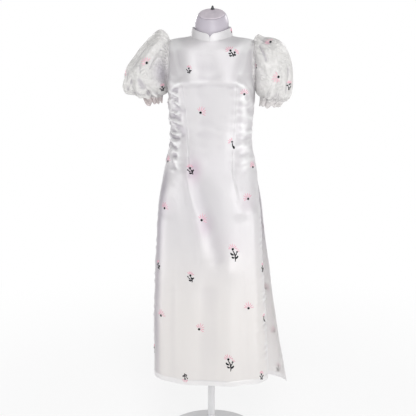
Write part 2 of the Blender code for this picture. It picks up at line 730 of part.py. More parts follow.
def build_stand(metal) -> None:
    """Build the pole and the round base whose hub holds it."""
    socket = POLE_RADIUS + SEAT_GAP
    outside = [
        (BASE_RADIUS - BASE_EDGE, 0.0),
        (BASE_RADIUS, BASE_EDGE),
        (BASE_RADIUS, BASE_THICK - BASE_EDGE),
        (BASE_RADIUS - BASE_EDGE, BASE_THICK),
        (HUB_RADIUS, BASE_THICK),
        (HUB_RADIUS, HUB_TOP_Z - BASE_EDGE),
        (HUB_RADIUS - BASE_EDGE, HUB_TOP_Z),
        (socket, HUB_TOP_Z),
        (socket, SOCKET_FLOOR_Z),
    ]
    turned("base", outside, metal)
    pole = [(POLE_RADIUS, SOCKET_FLOOR_Z + SEAT_GAP), (POLE_RADIUS, FORM_BOTTOM_Z - SEAT_GAP)]
    turned("pole", pole, metal)


def main() -> None:
    """Build every piece."""
    clear_scene()
    satin = make_material("white_satin", (0.86, 0.85, 0.86), 0.38)
    sheer = make_material("white_organza", (0.88, 0.88, 0.88), 0.55)
    shell = make_material("lilac_grey_shell", (0.62, 0.59, 0.63), 0.35)
    dark = make_material("dark_knob", (0.05, 0.05, 0.06), 0.4)
    metal = make_material("grey_metal", (0.55, 0.55, 0.56), 0.35, 0.9)
    build_front(satin)
    build_backs(satin)
    build_collars(satin)
    build_sleeve("sleeve_right", RIGHT_SLEEVE, -1, sheer)
    build_sleeve("sleeve_left", LEFT_SLEEVE, 1, sheer)
    build_form(shell)
    build_cap_and_knob(shell, dark)
    build_stand(metal)


main()
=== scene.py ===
"""The looks of a white satin ao dai tunic with organza puff sleeves, worn by a limbless dress form.

Metres, +Z up. The front faces -Y, and left and right are the wearer's: left is +X. Every cloth piece is a
thin shell on the form of the solid that it stands for, with its creases, seams, hems and embroidery.
"""
from __future__ import annotations

import logging
import math
from dataclasses import astuple, dataclass, field
from enum import Enum
from typing import Callable, Optional, Sequence

import bpy
import numpy as np
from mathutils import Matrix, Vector
from mathutils.bvhtree import BVHTree


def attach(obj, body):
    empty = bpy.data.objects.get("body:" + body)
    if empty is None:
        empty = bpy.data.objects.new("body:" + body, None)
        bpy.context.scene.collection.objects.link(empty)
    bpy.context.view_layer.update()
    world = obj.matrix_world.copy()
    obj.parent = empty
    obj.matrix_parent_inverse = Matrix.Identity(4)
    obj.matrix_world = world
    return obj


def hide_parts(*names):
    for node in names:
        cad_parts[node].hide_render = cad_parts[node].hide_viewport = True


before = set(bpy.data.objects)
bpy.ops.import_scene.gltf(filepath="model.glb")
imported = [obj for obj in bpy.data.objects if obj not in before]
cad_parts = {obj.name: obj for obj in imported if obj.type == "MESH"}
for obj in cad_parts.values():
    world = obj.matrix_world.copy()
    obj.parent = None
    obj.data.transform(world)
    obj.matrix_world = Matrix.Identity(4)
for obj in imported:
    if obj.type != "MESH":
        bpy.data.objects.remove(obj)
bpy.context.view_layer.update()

LOG = logging.getLogger("tunic")
BODY = "root"
SEAM_GAP = 0.0005
ARMPIT_RING = 8
SHOULDER_TIP_RING = 14
SHARP_DEGREES = 55.0
PROBE_DEGREES = 0.5
PROBE_LEVEL = 0.02
SAMPLES = 361
FINE_SAMPLES = 2001
MILLIMETRES = 1000.0

Colour = tuple[float, float, float]


class Side(Enum):
    """A side of the wearer, valued as its direction along X."""

    RIGHT = -1
    LEFT = 1

    @property
    def word(self) -> str:
        """Return the side's name as it stands in a piece's name."""
        return self.name.lower()


class Look(Enum):
    """A direction along which a motif is laid on the cloth, as (x, y, z) of the ray that finds its place."""

    FRONT = (0.0, 1.0, 0.0)
    BACK = (0.0, -1.0, 0.0)
    FROM_RIGHT = (1.0, 0.0, 0.0)
    FROM_LEFT = (-1.0, 0.0, 0.0)
    TOP = (0.0, 0.0, -1.0)


class Motif(Enum):
    """The kinds of embroidered motif."""

    FLOWER = "flower"
    SPRIG = "sprig"
    TWIN_SPRIG = "twin sprig"
    TALL_SPRIG = "tall sprig"
    BUD = "bud"


class Thread(Enum):
    """The embroidery threads."""

    PINK = "pink"
    DARK = "dark"


# Small tools for numbers and meshes


def rows(kind: Callable, lengths: int, table: Sequence[tuple]) -> tuple:
    """Make the rows of a table.

    Args:
        kind: What each row is.
        lengths: How many of a row's first columns are given in millimetres.
        table: The rows, with the columns in the order of the kind's fields.

    Returns:
        The rows as objects, in metres.
    """
    return tuple(kind(*(value / MILLIMETRES for value in row[:lengths]), *row[lengths:]) for row in table)


def run_along(points: np.ndarray) -> np.ndarray:
    """Return how far along a line each of its points lies."""
    return np.concatenate([[0.0], np.cumsum(np.linalg.norm(np.diff(points, axis=0), axis=1))])


def follow(wanted: np.ndarray, known: np.ndarray, points: np.ndarray) -> np.ndarray:
    """Read places on a line of points, each of which has a known number."""
    return np.stack([np.interp(wanted, known, points[:, axis]) for axis in range(3)], axis=-1)


def spline(values: Sequence[float], place: np.ndarray) -> np.ndarray:
    """Read a smooth curve through evenly numbered values.

    Args:
        values: The curve's values at places 0, 1, 2 and on.
        place: The places to read, of any shape.

    Returns:
        The curve's values at those places.
    """
    known = np.asarray(values, dtype=float)
    place = np.asarray(place, dtype=float)
    last = len(known) - 1
    low = np.clip(np.floor(place).astype(int), 0, last - 1)
    part = place - low
    before = known[np.maximum(low - 1, 0)]
    start = known[low]
    end = known[low + 1]
    after = known[np.minimum(low + 2, last)]
    slope = end - before
    bend = 2 * before - 5 * start + 4 * end - after
    twist = 3 * (start - end) + after - before
    return start + 0.5 * part * (slope + part * (bend + part * twist))


def smooth_step(value: np.ndarray, low: float, high: float) -> np.ndarray:
    """Return 0 below low, 1 above high, and a soft rise between."""
    share = np.clip((np.asarray(value, dtype=float) - low) / (high - low), 0.0, 1.0)
    return share * share * (3.0 - 2.0 * share)


def unit(vectors: np.ndarray) -> np.ndarray:
    """Return the vectors at length 1."""
    return vectors / np.maximum(np.linalg.norm(vectors, axis=-1, keepdims=True), 1e-12)


def grid_normals(grid: np.ndarray, closed: bool) -> np.ndarray:
    """Work out the normals of a grid of points, rows by columns.

    Args:
        grid: Points of shape (rows, columns, 3).
        closed: Whether the last column joins the first one.

    Returns:
        Unit normals, the cross product of the way along a row and the way up a column.
    """
    if closed:
        along = np.roll(grid, -1, axis=1) - np.roll(grid, 1, axis=1)
    else:
        along = np.gradient(grid, axis=1)
    return unit(np.cross(along, np.gradient(grid, axis=0)))


def hollows(grid: np.ndarray, normals: np.ndarray, closed: bool, passes: int, depth: float) -> np.ndarray:
    """Measure how far each point of a grid lies below its neighbourhood.

    Args:
        grid: Points of shape (rows, columns, 3).
        normals: The way out at each point.
        closed: Whether the last column joins the first one.
        passes: How often each point is averaged with its neighbours: more reach further.
        depth: The depth, in metres, that counts as a full hollow.

    Returns:
        Numbers from 0, level or raised, to 1, deep.
    """
    soft = grid
    for _ in range(passes):
        above = np.concatenate([soft[1:], soft[-1:]])
        below = np.concatenate([soft[:1], soft[:-1]])
        if closed:
            ahead, behind = np.roll(soft, -1, axis=1), np.roll(soft, 1, axis=1)
        else:
            ahead = np.concatenate([soft[:, 1:], soft[:, -1:]], axis=1)
            behind = np.concatenate([soft[:, :1], soft[:, :-1]], axis=1)
        soft = (above + below + ahead + behind) / 4
    return np.clip(((soft - grid) * normals).sum(axis=-1) / depth, 0.0, 1.0)


def add_mesh(name: str, points: np.ndarray, faces: list, finish: "Finish") -> bpy.types.Object:
    """Make a smooth-shaded mesh object whose faces point out.

    Args:
        name: The object's name.
        points: Its corners.
        faces: Tuples of corner numbers.
        finish: The finish that its faces get.

    Returns:
        The new object.
    """
    mesh = bpy.data.meshes.new(name)
    mesh.from_pydata(np.asarray(points, dtype=float).tolist(), [], faces)
    mesh.materials.append(finish.material())
    if enclosed(np.asarray(points, dtype=float), faces) < 0:
        mesh.flip_normals()
    mesh.shade_smooth()
    mesh.set_sharp_from_angle(angle=math.radians(SHARP_DEGREES))
    item = bpy.data.objects.new(name, mesh)
    bpy.context.scene.collection.objects.link(item)
    return item


def enclosed(points: np.ndarray, faces: list) -> float:
    """Return the volume inside the faces, negative where they point in."""
    total = 0.0
    for size in {len(face) for face in faces}:
        ring = np.array([face for face in faces if len(face) == size])
        first = points[ring[:, 0]]
        for step in range(1, size - 1):
            second = points[ring[:, step]]
            third = points[ring[:, step + 1]]
            total += float((first * np.cross(second, third)).sum()) / 6.0
    return total


def quads(rows: int, columns: int, closed: bool, start: int = 0, turned: bool = False) -> list:
    """Return the four-sided faces of a grid whose corners are numbered row by row.

    Args:
        rows: The number of rows of corners.
        columns: The number of corners in a row.
        closed: Whether the last column joins the first one.
        start: The number of the grid's first corner.
        turned: Whether the faces look the other way.

    Returns:
        The faces, as tuples of corner numbers.
    """
    row = np.arange(rows - 1)[:, None] * columns
    col = np.arange(columns if closed else columns - 1)[None, :]
    low = start + row + col
    low_next = start + row + (col + 1) % columns
    ring = [low, low_next, low_next + columns, low + columns]
    if turned:
        ring.reverse()
    return [tuple(face) for face in np.stack(ring, axis=-1).reshape(-1, 4).tolist()]


def shell(name: str, outer: np.ndarray, inner: np.ndarray, closed: bool, finish: "Finish") -> bpy.types.Object:
    """Make a thin closed wall between two matching grids of points.

    Args:
        name: The object's name.
        outer: The outer side, of shape (rows, columns, 3).
        inner: The inner side, of the same shape.
        closed: Whether the last column joins the first one.
        finish: The cloth's finish.

    Returns:
        The new object.
    """
    rows, columns = outer.shape[:2]
    count = rows * columns
    faces = quads(rows, columns, closed) + quads(rows, columns, closed, count, True)
    spans = columns if closed else columns - 1
    top = (rows - 1) * columns
    for col in range(spans):
        after = (col + 1) % columns
        faces.append((col, count + col, count + after, after))
        faces.append((top + after, count + top + after, count + top + col, top + col))
    if not closed:
        end = columns - 1
        for row in range(0, top, columns):
            above = row + columns
            faces.append((above, count + above, count + row, row))
            faces.append((row + end, count + row + end, count + above + end, above + end))
    points = np.concatenate([outer.reshape(-1, 3), inner.reshape(-1, 3)])
    return add_mesh(name, points, faces, finish)


def capped(rings: int, sides: int, start: int = 0) -> list:
    """Return the faces of a stack of rings, with one at each end."""
    top = start + (rings - 1) * sides
    ends = [tuple(range(start + sides - 1, start - 1, -1)), tuple(range(top, top + sides))]
    return quads(rings, sides, True, start) + ends


def stack(name: str, rings: Sequence[np.ndarray], finish: "Finish") -> bpy.types.Object:
    """Join matching rings of points, low to high, into one closed solid with a face at each end."""
    return add_mesh(name, np.concatenate(rings), capped(len(rings), len(rings[0])), finish)


def tube_points(path: np.ndarray, radius: float, flat: float, sides: int, up: np.ndarray) -> np.ndarray:
    """Return rings of points round a path.

    Args:
        path: The tube's middle line.
        radius: Half its width.
        flat: Its height as a share of its width.
        sides: How many sides it has.
        up: At each point of the path, the direction of its height.

    Returns:
        Points of shape (path points, sides, 3).
    """
    ahead = unit(np.gradient(path, axis=0))
    across = unit(np.cross(ahead, up))
    rise = unit(np.cross(across, ahead))
    turn = np.arange(sides) * 2 * math.pi / sides
    wide = across[:, None, :] * (np.cos(turn) * radius)[None, :, None]
    high = rise[:, None, :] * (np.sin(turn) * radius * flat)[None, :, None]
    return path[:, None, :] + wide + high


def tube(name: str, path: np.ndarray, radius: float, flat: float, up: np.ndarray, finish: "Finish",
         sides: int = 8) -> bpy.types.Object:
    """Make a closed tube, such as a seam's roll or piping, along a path."""
    return stack(name, list(tube_points(path, radius, flat, sides, up)), finish)


def give_attribute(item: bpy.types.Object, name: str, values: np.ndarray) -> None:
    """Store one number at each corner of a mesh for its material to read."""
    layer = item.data.attributes.new(name, "FLOAT", "POINT")
    layer.data.foreach_set("value", np.asarray(values, dtype=np.float32).ravel())


def give_sides(item: bpy.types.Object, name: str, values: np.ndarray, inside: float = 1.0) -> None:
    """Store one number at each corner of a shell's outer side, and a share of it on the inner side."""
    give_attribute(item, name, np.concatenate([values.ravel(), values.ravel() * inside]))


def fit(item: bpy.types.Object, node: str = "") -> None:
    """Hang a piece on the body, and put it in the place of its node if it has one."""
    if node:
        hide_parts(node)
    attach(item, BODY)


# Finishes


class Finish:
    """Something that gives a piece its material. Each finish makes its material once."""

    made: dict = {}

    def material(self) -> bpy.types.Material:
        """Return the finish's material, made the first time that it is asked for."""
        if self not in Finish.made:
            Finish.made[self] = self.make()
        return Finish.made[self]

    def make(self) -> bpy.types.Material:
        """Build the material."""
        raise NotImplementedError


class Board:
    """A material's node tree, with short ways to add and join nodes."""

    def __init__(self, name: str) -> None:
        """Start a material that has only its Principled shader and output."""
        self.material = bpy.data.materials.new(name)
        self.material.use_nodes = True
        self.tree = self.material.node_tree
        self.shader = self.tree.nodes["Principled BSDF"]
        self.place = self.add("ShaderNodeTexCoord").outputs["Object"]

    def add(self, kind: str, **values: object) -> bpy.types.Node:
        """Add a node and set its properties and its unlinked inputs by name.

        Args:
            kind: The node's Blender type.
            values: Properties of the node, or inputs with _ for each space of their names.

        Returns:
            The node.
        """
        node = self.tree.nodes.new(kind)
        for key, value in values.items():
            label = key.replace("_", " ").title()
            if hasattr(node, key):
                setattr(node, key, value)
            elif label in node.inputs:
                node.inputs[label].default_value = value
            else:
                raise KeyError(f"{kind} has no {key}")
        return node

    def join(self, output: bpy.types.NodeSocket, target: bpy.types.NodeSocket) -> None:
        """Link an output to an input."""
        self.tree.links.new(output, target)

    def set(self, **values: object) -> None:
        """Set sockets of the shader that are the same all over the surface."""
        sockets = {socket.name.lower().replace(" ", "_"): socket for socket in self.shader.inputs}
        for key, value in values.items():
            sockets[key.lower()].default_value = value

    def stretched(self, scale: tuple) -> bpy.types.NodeSocket:
        """Return the object's coordinates, stretched along each axis."""
        node = self.add("ShaderNodeMapping", Scale=scale)
        self.join(self.place, node.inputs["Vector"])
        return node.outputs["Vector"]

    def noise(self, scale: float, detail: float = 3.0, stretch: Optional[tuple] = None,
              distortion: float = 0.0) -> bpy.types.NodeSocket:
        """Return a noise's value between 0 and 1."""
        node = self.add("ShaderNodeTexNoise", Scale=scale, Detail=detail, Distortion=distortion)
        self.join(self.stretched(stretch) if stretch else self.place, node.inputs["Vector"])
        return node.outputs["Fac"]

    def threads(self, spacing: float, axis: str) -> bpy.types.NodeSocket:
        """Return parallel threads across one axis, at a spacing in metres."""
        node = self.add("ShaderNodeTexWave", wave_type="BANDS", bands_direction=axis,
                        Scale=2 * math.pi / 20.0 / spacing, Distortion=0.6, Detail=1.0, Detail_Scale=0.4)
        self.join(self.place, node.inputs["Vector"])
        return node.outputs["Fac"]

    def ranged(self, value: bpy.types.NodeSocket, low: float, high: float) -> bpy.types.NodeSocket:
        """Spread a value that runs from 0 to 1 between low and high."""
        node = self.add("ShaderNodeMapRange", To_Min=low, To_Max=high)
        self.join(value, node.inputs["Value"])
        return node.outputs["Result"]

    def blended(self, share: bpy.types.NodeSocket, first: object, second: object) -> bpy.types.NodeSocket:
        """Mix two colours, each a colour or a socket, by a share between 0 and 1."""
        node = self.add("ShaderNodeMix", data_type="RGBA")
        self.join(share, node.inputs["Factor"])
        for value, target in ((first, node.inputs[6]), (second, node.inputs[7])):
            if isinstance(value, tuple):
                target.default_value = (*value, 1.0)
            else:
                self.join(value, target)
        return node.outputs[2]

    def raised(self, height: bpy.types.NodeSocket, depth: float,
               under: Optional[bpy.types.NodeSocket] = None) -> bpy.types.NodeSocket:
        """Return a normal bumped by a height, on top of another bump."""
        node = self.add("ShaderNodeBump", Strength=1.0, Distance=depth)
        self.join(height, node.inputs["Height"])
        if under is not None:
            self.join(under, node.inputs["Normal"])
        return node.outputs["Normal"]

    def glow_through(self, colour: Colour, share: float) -> None:
        """Let a share of the light that falls on one side of the surface glow out of the other."""
        thin = self.add("ShaderNodeBsdfTranslucent", Color=(*colour, 1.0))
        mix = self.add("ShaderNodeMixShader")
        mix.inputs[0].default_value = share
        self.join(self.shader.outputs[0], mix.inputs[1])
        self.join(thin.outputs[0], mix.inputs[2])
        self.join(mix.outputs[0], self.tree.nodes["Material Output"].inputs["Surface"])

    def attribute(self, name: str) -> bpy.types.NodeSocket:
        """Return a number that is stored on the mesh."""
        node = self.add("ShaderNodeAttribute", attribute_name=name, attribute_type="GEOMETRY")
        return node.outputs["Fac"]


@dataclass(frozen=True)
class Satin(Finish):
    """Glossy satin: a smooth face with fine threads, faint crumples and a soft sheen; its colour also holds
    painted shade in creases and painted highlights on ridges.
    """

    name: str = "white_satin"
    light: Colour = (0.855, 0.84, 0.845)
    cool: Colour = (0.765, 0.745, 0.77)
    # The next colour whitens the double cloth of hems, slits, collar and piping, and is also the painted
    # highlight on ridges.
    hem: Colour = (0.94, 0.935, 0.94)
    blush: Colour = (0.66, 0.52, 0.62)
    # The next colour is painted shade, laid in creases, hollows and where the front's right edge rolls away.
    painted_shade: Colour = (0.38, 0.345, 0.40)
    warm: Colour = (0.875, 0.848, 0.83)
    warm_below: tuple[float, float] = (0.45, 0.85)
    roughness: tuple[float, float] = (0.38, 0.56)
    lustre: float = 0.38
    thinness: float = 0.28
    thread: float = 0.0006
    crumple: float = 0.0012

    def make(self) -> bpy.types.Material:
        """Build the satin's material."""
        board = Board(self.name)
        cloudy = board.noise(6.0, 3.0, (1.0, 1.0, 0.5))
        colour = board.blended(cloudy, self.cool, self.light)
        height = board.add("ShaderNodeSeparateXYZ")
        board.join(board.place, height.inputs[0])
        warmth = board.add("ShaderNodeMapRange", interpolation_type="SMOOTHSTEP", From_Min=self.warm_below[0],
                           From_Max=self.warm_below[1])
        board.join(height.outputs["Z"], warmth.inputs["Value"])
        colour = board.blended(warmth.outputs["Result"], self.warm, colour)
        # Whiter double cloth, with painted highlights on ridges stored in the same mark.
        colour = board.blended(board.attribute("double"), colour, self.hem)
        colour = board.blended(board.attribute("blush"), colour, self.blush)
        # Painted shade in creases, hollows and along the rolled right edge.
        colour = board.blended(board.attribute("painted_shade"), colour, self.painted_shade)
        board.join(colour, board.shader.inputs["Base Color"])
        patchy = board.noise(55.0, 2.0, (1.0, 1.0, 0.35))
        board.join(board.ranged(patchy, *self.roughness), board.shader.inputs["Roughness"])
        creased = board.noise(26.0, 3.0, (1.0, 1.0, 0.55), 0.7)
        normal = board.raised(creased, self.crumple)
        normal = board.raised(board.threads(self.thread, "X"), self.thread * 0.04, normal)
        normal = board.raised(board.threads(self.thread * 1.6, "Z"), self.thread * 0.03, normal)
        board.join(normal, board.shader.inputs["Normal"])
        board.set(Metallic=self.lustre, Sheen_Weight=0.15, Sheen_Roughness=0.4, Specular_IOR_Level=0.7,
                  Anisotropic=0.4)
        board.glow_through(self.hem, self.thinness)
        return board.material


@dataclass(frozen=True)
class Organza(Finish):
    """Sheer, stiff organza, through which the layer behind shows faintly."""

    name: str = "white_organza"
    light: Colour = (0.93, 0.918, 0.905)
    cool: Colour = (0.76, 0.748, 0.735)
    # Painted shade by the armhole, at the elastic and in creases.
    shaded: Colour = (0.50, 0.47, 0.52)
    # A darker warm tint: painted shade inside the frill and on its rolled hem.
    warm: Colour = (0.60, 0.47, 0.47)
    lustre: float = 0.12
    alpha: float = 0.74
    thread: float = 0.0008
    crumple: float = 0.0065

    def make(self) -> bpy.types.Material:
        """Build the organza's material."""
        board = Board(self.name)
        colour = board.blended(board.noise(34.0, 5.0, None, 1.6), self.cool, self.light)
        # Painted shade, then the frill's warm painted shade.
        colour = board.blended(board.attribute("shade"), colour, self.shaded)
        colour = board.blended(board.attribute("warmth"), colour, self.warm)
        board.join(colour, board.shader.inputs["Base Color"])
        patchy = board.noise(60.0, 2.0)
        board.join(board.ranged(patchy, 0.28, 0.48), board.shader.inputs["Roughness"])
        normal = board.raised(board.noise(48.0, 4.0, None, 2.2), self.crumple)
        normal = board.raised(board.threads(self.thread, "X"), self.thread * 0.08, normal)
        normal = board.raised(board.threads(self.thread, "Z"), self.thread * 0.08, normal)
        board.join(normal, board.shader.inputs["Normal"])
        board.set(Alpha=self.alpha, Metallic=self.lustre, Sheen_Weight=0.3, Sheen_Roughness=0.35,
                  Specular_IOR_Level=0.8)
        return board.material


@dataclass(frozen=True)
class Floss(Finish):
    """Embroidery thread: close strands with a silky gloss."""

    name: str
    colour: Colour
    shade: Colour
    strand: float = 0.0005
    sheen: float = 0.3

    def make(self) -> bpy.types.Material:
        """Build the thread's material."""
        board = Board(self.name)
        strands = board.threads(self.strand, "DIAGONAL")
        board.join(board.blended(strands, self.shade, self.colour), board.shader.inputs["Base Color"])
        board.join(board.ranged(board.noise(300.0), 0.35, 0.55), board.shader.inputs["Roughness"])
        board.join(board.raised(strands, self.strand * 0.25), board.shader.inputs["Normal"])
        board.set(Sheen_Weight=self.sheen, Sheen_Roughness=0.3, Specular_IOR_Level=0.15 + self.sheen)
        return board.material


@dataclass(frozen=True)
class Moulding(Finish):
    """A moulded or painted hard surface, with faint unevenness and wear in its gloss."""

    name: str
    colour: Colour
    shade: Colour
    roughness: tuple[float, float]
    coat: float = 0.3
    dimple: float = 0.0002
    grain: float = 30.0
    streak: tuple = (1.0, 1.0, 1.0)

    def make(self) -> bpy.types.Material:
        """Build the hard surface's material."""
        board = Board(self.name)
        colour = board.blended(board.noise(self.grain * 0.4, 4.0, self.streak), self.shade, self.colour)
        board.join(colour, board.shader.inputs["Base Color"])
        worn = board.noise(self.grain, 5.0, self.streak)
        board.join(board.ranged(worn, *self.roughness), board.shader.inputs["Roughness"])
        normal = board.raised(board.noise(self.grain * 6.0, 2.0, self.streak), self.dimple)
        board.join(normal, board.shader.inputs["Normal"])
        board.set(Coat_Weight=self.coat, Coat_Roughness=0.2)
        return board.material


@dataclass(frozen=True)
class StudioFloor(Finish):
    """A matt white floor that fades into the lit room far from the object."""

    name: str = "studio_floor"
    near: Colour = (0.90, 0.90, 0.905)
    glow: float = 1.0
    near_share: float = 0.70
    fade_start: float = 0.5
    fade_end: float = 2.2

    def make(self) -> bpy.types.Material:
        """Build the floor's material."""
        board = Board(self.name)
        mottled = board.blended(board.noise(3.0), self.near, tuple(c * 0.985 for c in self.near))
        board.join(mottled, board.shader.inputs["Base Color"])
        board.set(Roughness=0.8)
        far = board.add("ShaderNodeVectorMath", operation="LENGTH")
        board.join(board.place, far.inputs[0])
        fade = board.add("ShaderNodeMapRange", interpolation_type="SMOOTHSTEP", From_Min=self.fade_start,
                         From_Max=self.fade_end, To_Min=self.near_share)
        board.join(far.outputs["Value"], fade.inputs["Value"])
        lit = board.add("ShaderNodeEmission", Strength=self.glow)
        mix = board.add("ShaderNodeMixShader")
        board.join(fade.outputs["Result"], mix.inputs[0])
        board.join(board.shader.outputs[0], mix.inputs[1])
        board.join(lit.outputs[0], mix.inputs[2])
        board.join(mix.outputs[0], board.tree.nodes["Material Output"].inputs["Surface"])
        return board.material


SATIN = Satin()
BACK_SATIN = Satin("white_satin_back", thinness=0.58)
ORGANZA = Organza()
PINK = Floss("pink_floss", (0.88, 0.46, 0.56), (0.78, 0.34, 0.45))
DARK = Floss("charcoal_floss", (0.014, 0.014, 0.019), (0.006, 0.006, 0.009), 0.0005, 0.0)
WHITE_THREAD = Floss("white_thread", (0.90, 0.89, 0.90), (0.80, 0.79, 0.81), 0.0004)
FORM_SHELL = Moulding("lilac_grey_shell", (0.54, 0.505, 0.56), (0.40, 0.37, 0.42), (0.34, 0.46), 0.25,
                      0.00012, 18.0, (1.0, 1.0, 0.25))
FORM_CAP = Moulding("lilac_grey_cap", (0.69, 0.63, 0.68), (0.46, 0.415, 0.465), (0.45, 0.60), 0.1, 0.0003,
                    130.0, (1.0, 0.15, 1.0))
KNOB = Moulding("dark_knob", (0.05, 0.05, 0.055), (0.03, 0.03, 0.035), (0.40, 0.60), 0.1, 0.0002, 90.0)
ENAMEL = Moulding("pale_enamel", (0.74, 0.74, 0.75), (0.68, 0.68, 0.69), (0.25, 0.38), 0.4, 0.0001, 40.0)


# The rings on which the panels lie


@dataclass(frozen=True)
class Outline:
    """An outline round the body.

    Heights at the side, front and back, reaches from the axis to the right, left, front and back, and
    squareness (2 is an ellipse).
    """

    side_z: float
    front_z: float
    back_z: float
    right: float
    left: float
    front: float
    back: float
    square: float


@dataclass(frozen=True)
class Ring(Outline):
    """An outline with where a panel ends on its right and left, in degrees from its own centre line."""

    right_edge: float = 180.0
    left_edge: float = 180.0


@dataclass(frozen=True)
class BodyRow(Outline):
    """An outline that front and back share, with the angle at which each is cut for side or armhole."""

    front_cut: float
    back_cut: float

    def ring(self, cut: float) -> Ring:
        """Return the row as a ring of a panel that is cut at an angle."""
        return Ring(*astuple(self)[:8], cut, cut)


@dataclass(frozen=True)
class SkirtRow:
    """A level ring of one hanging panel below the slits."""

    z: float
    right: float
    left: float
    depth: float
    square: float
    right_edge: float
    left_edge: float

    def ring(self) -> Ring:
        """Return the row as a ring."""
        return Ring(self.z, self.z, self.z, self.right, self.left, self.depth, self.depth, self.square,
                    self.right_edge, self.left_edge)


BODY_ROWS = rows(BodyRow, 7, (
    (965, 965, 965, 163.5, 154, 107, 110, 2.4, 87, 88),
    (1005, 1005, 1005, 156, 146.5, 100, 99, 2.4, 90, 90),
    (1035, 1035, 1035, 148.5, 140, 95, 90, 2.4, 90, 90),
    (1069, 1069, 1069, 142.5, 135.5, 91, 83, 2.3, 90, 90),
    (1103, 1103, 1103, 140.5, 136, 90, 79, 2.3, 90, 90),
    (1137, 1137, 1137, 142.5, 139, 93, 81, 2.4, 90, 90),
    (1171, 1171, 1171, 145, 142.5, 99, 86, 2.5, 90, 90),
    (1205, 1207, 1205, 146, 145, 107, 91, 2.7, 90, 90),
    (1237, 1242, 1237, 146.5, 146.5, 115, 95, 2.9, 90, 90),
    (1262, 1268, 1262, 147, 147, 119, 98, 3, 76, 77), (1295, 1294, 1292, 147, 147, 113, 100, 2.9, 68, 70),
    (1330, 1319, 1324, 147.5, 147.5, 103, 100, 2.7, 66, 67),
    (1362, 1340, 1352, 147.5, 147.5, 95, 97, 2.5, 68, 67),
    (1388, 1356, 1376, 145.5, 145.5, 88, 91, 2.4, 75, 73),
    (1404, 1368, 1391, 137, 137, 83, 84, 2.3, 90, 90), (1409, 1377, 1402, 118, 118, 78, 77, 2.2, 90, 90),
    (1412, 1386, 1411, 97, 97, 73, 70, 2.1, 90, 90), (1414.5, 1394, 1418, 80, 80, 68.5, 63, 2.1, 90, 90),
    (1417, 1401, 1424, 69.5, 69.5, 64.5, 57.5, 2, 90, 90),
))

FRONT_SKIRT = rows(SkirtRow, 4, (
    (231, 203, 207, 130, 2.6, 80, 77), (300, 203, 205, 130, 2.6, 80, 78),
    (380, 203, 200, 128, 2.6, 80, 79), (460, 202, 195, 126, 2.6, 80, 80),
    (540, 200, 190, 124, 2.6, 80, 80), (620, 197, 184, 122, 2.6, 80, 81),
    (700, 193, 178, 120, 2.6, 80, 81), (780, 189, 172, 118, 2.6, 80, 82),
    (860, 182, 165.5, 116, 2.5, 80, 83), (920, 172, 158.5, 112, 2.5, 82, 86),
))

BACK_SKIRT = rows(SkirtRow, 4, (
    (200, 210, 272, 104, 2.2, 82, 84), (290, 209, 257, 106, 2.2, 82, 84),
    (380, 207, 239, 108, 2.3, 82, 84), (460, 204, 226, 110, 2.3, 83, 84),
    (540, 200, 213, 112, 2.3, 83, 85), (620, 196, 203, 114, 2.4, 84, 85),
    (700, 192, 192, 117, 2.4, 85, 86), (780, 188, 181.5, 120, 2.4, 86, 87),
    (860, 182, 171, 121, 2.4, 86, 87), (920, 173, 159.5, 117, 2.4, 87, 88),
))


class RingFamily:
    """A smooth surface through a stack of rings, read by an angle and a ring number."""

    def __init__(self, rings: Sequence[Ring]) -> None:
        """Keep the rings, low to high."""
        self.rings = tuple(rings)
        self.last = len(self.rings) - 1

    def read(self, name: str, level: np.ndarray) -> np.ndarray:
        """Read one of the rings' sizes as a smooth curve."""
        return spline([getattr(ring, name) for ring in self.rings], level)

    def points(self, angle: np.ndarray, level: np.ndarray) -> np.ndarray:
        """Return points on the surface.

        Args:
            angle: Degrees from the front towards +X.
            level: Ring numbers, of the same shape.

        Returns:
            Points, with one more axis than the angles.
        """
        turn = np.radians(angle)
        sine, cosine = np.sin(turn), np.cos(turn)
        power = 2.0 / self.read("square", level)
        reach = np.where(sine > 0, self.read("left", level), self.read("right", level))
        depth = np.where(cosine > 0, self.read("front", level), self.read("back", level))
        end_z = np.where(cosine > 0, self.read("front_z", level), self.read("back_z", level))
        side_z = self.read("side_z", level)
        x = reach * np.sign(sine) * np.abs(sine) ** power
        y = -depth * np.sign(cosine) * np.abs(cosine) ** power
        z = end_z + (side_z - end_z) * sine ** 2
        return np.stack([x, y, z], axis=-1)

    def normals(self, angle: np.ndarray, level: np.ndarray) -> np.ndarray:
        """Return unit normals that point away from the body."""
        round_way = self.points(angle + PROBE_DEGREES, level) - self.points(angle - PROBE_DEGREES, level)
        above = self.points(angle, np.minimum(level + PROBE_LEVEL, self.last))
        below = self.points(angle, np.maximum(level - PROBE_LEVEL, 0))
        return unit(np.cross(round_way, above - below))

    def run(self, level: float, start: float, end: float) -> tuple[np.ndarray, np.ndarray]:
        """Return finely spaced angles on a ring, and how far along the ring each one lies."""
        angles = np.linspace(start, end, SAMPLES)
        return angles, run_along(self.points(angles, np.full(SAMPLES, level)))

    def levels(self, angle: float, step: float, low: float, high: float) -> np.ndarray:
        """Return ring numbers that lie about one step apart up a line at an angle."""
        fine = np.linspace(low, high, FINE_SAMPLES)
        run = run_along(self.points(np.full(FINE_SAMPLES, angle), fine))
        count = max(int(round(run[-1] / step)), 2)
        return np.interp(np.linspace(0.0, run[-1], count + 1), run, fine)


def front_family() -> RingFamily:
    """Return the front panel's surface, hem to neck."""
    return RingFamily([row.ring() for row in FRONT_SKIRT] + [row.ring(row.front_cut) for row in BODY_ROWS])


def back_family() -> RingFamily:
    """Return the back panels' surface, hem to neck."""
    return RingFamily([row.ring() for row in BACK_SKIRT] + [row.ring(row.back_cut) for row in BODY_ROWS])


# Creases


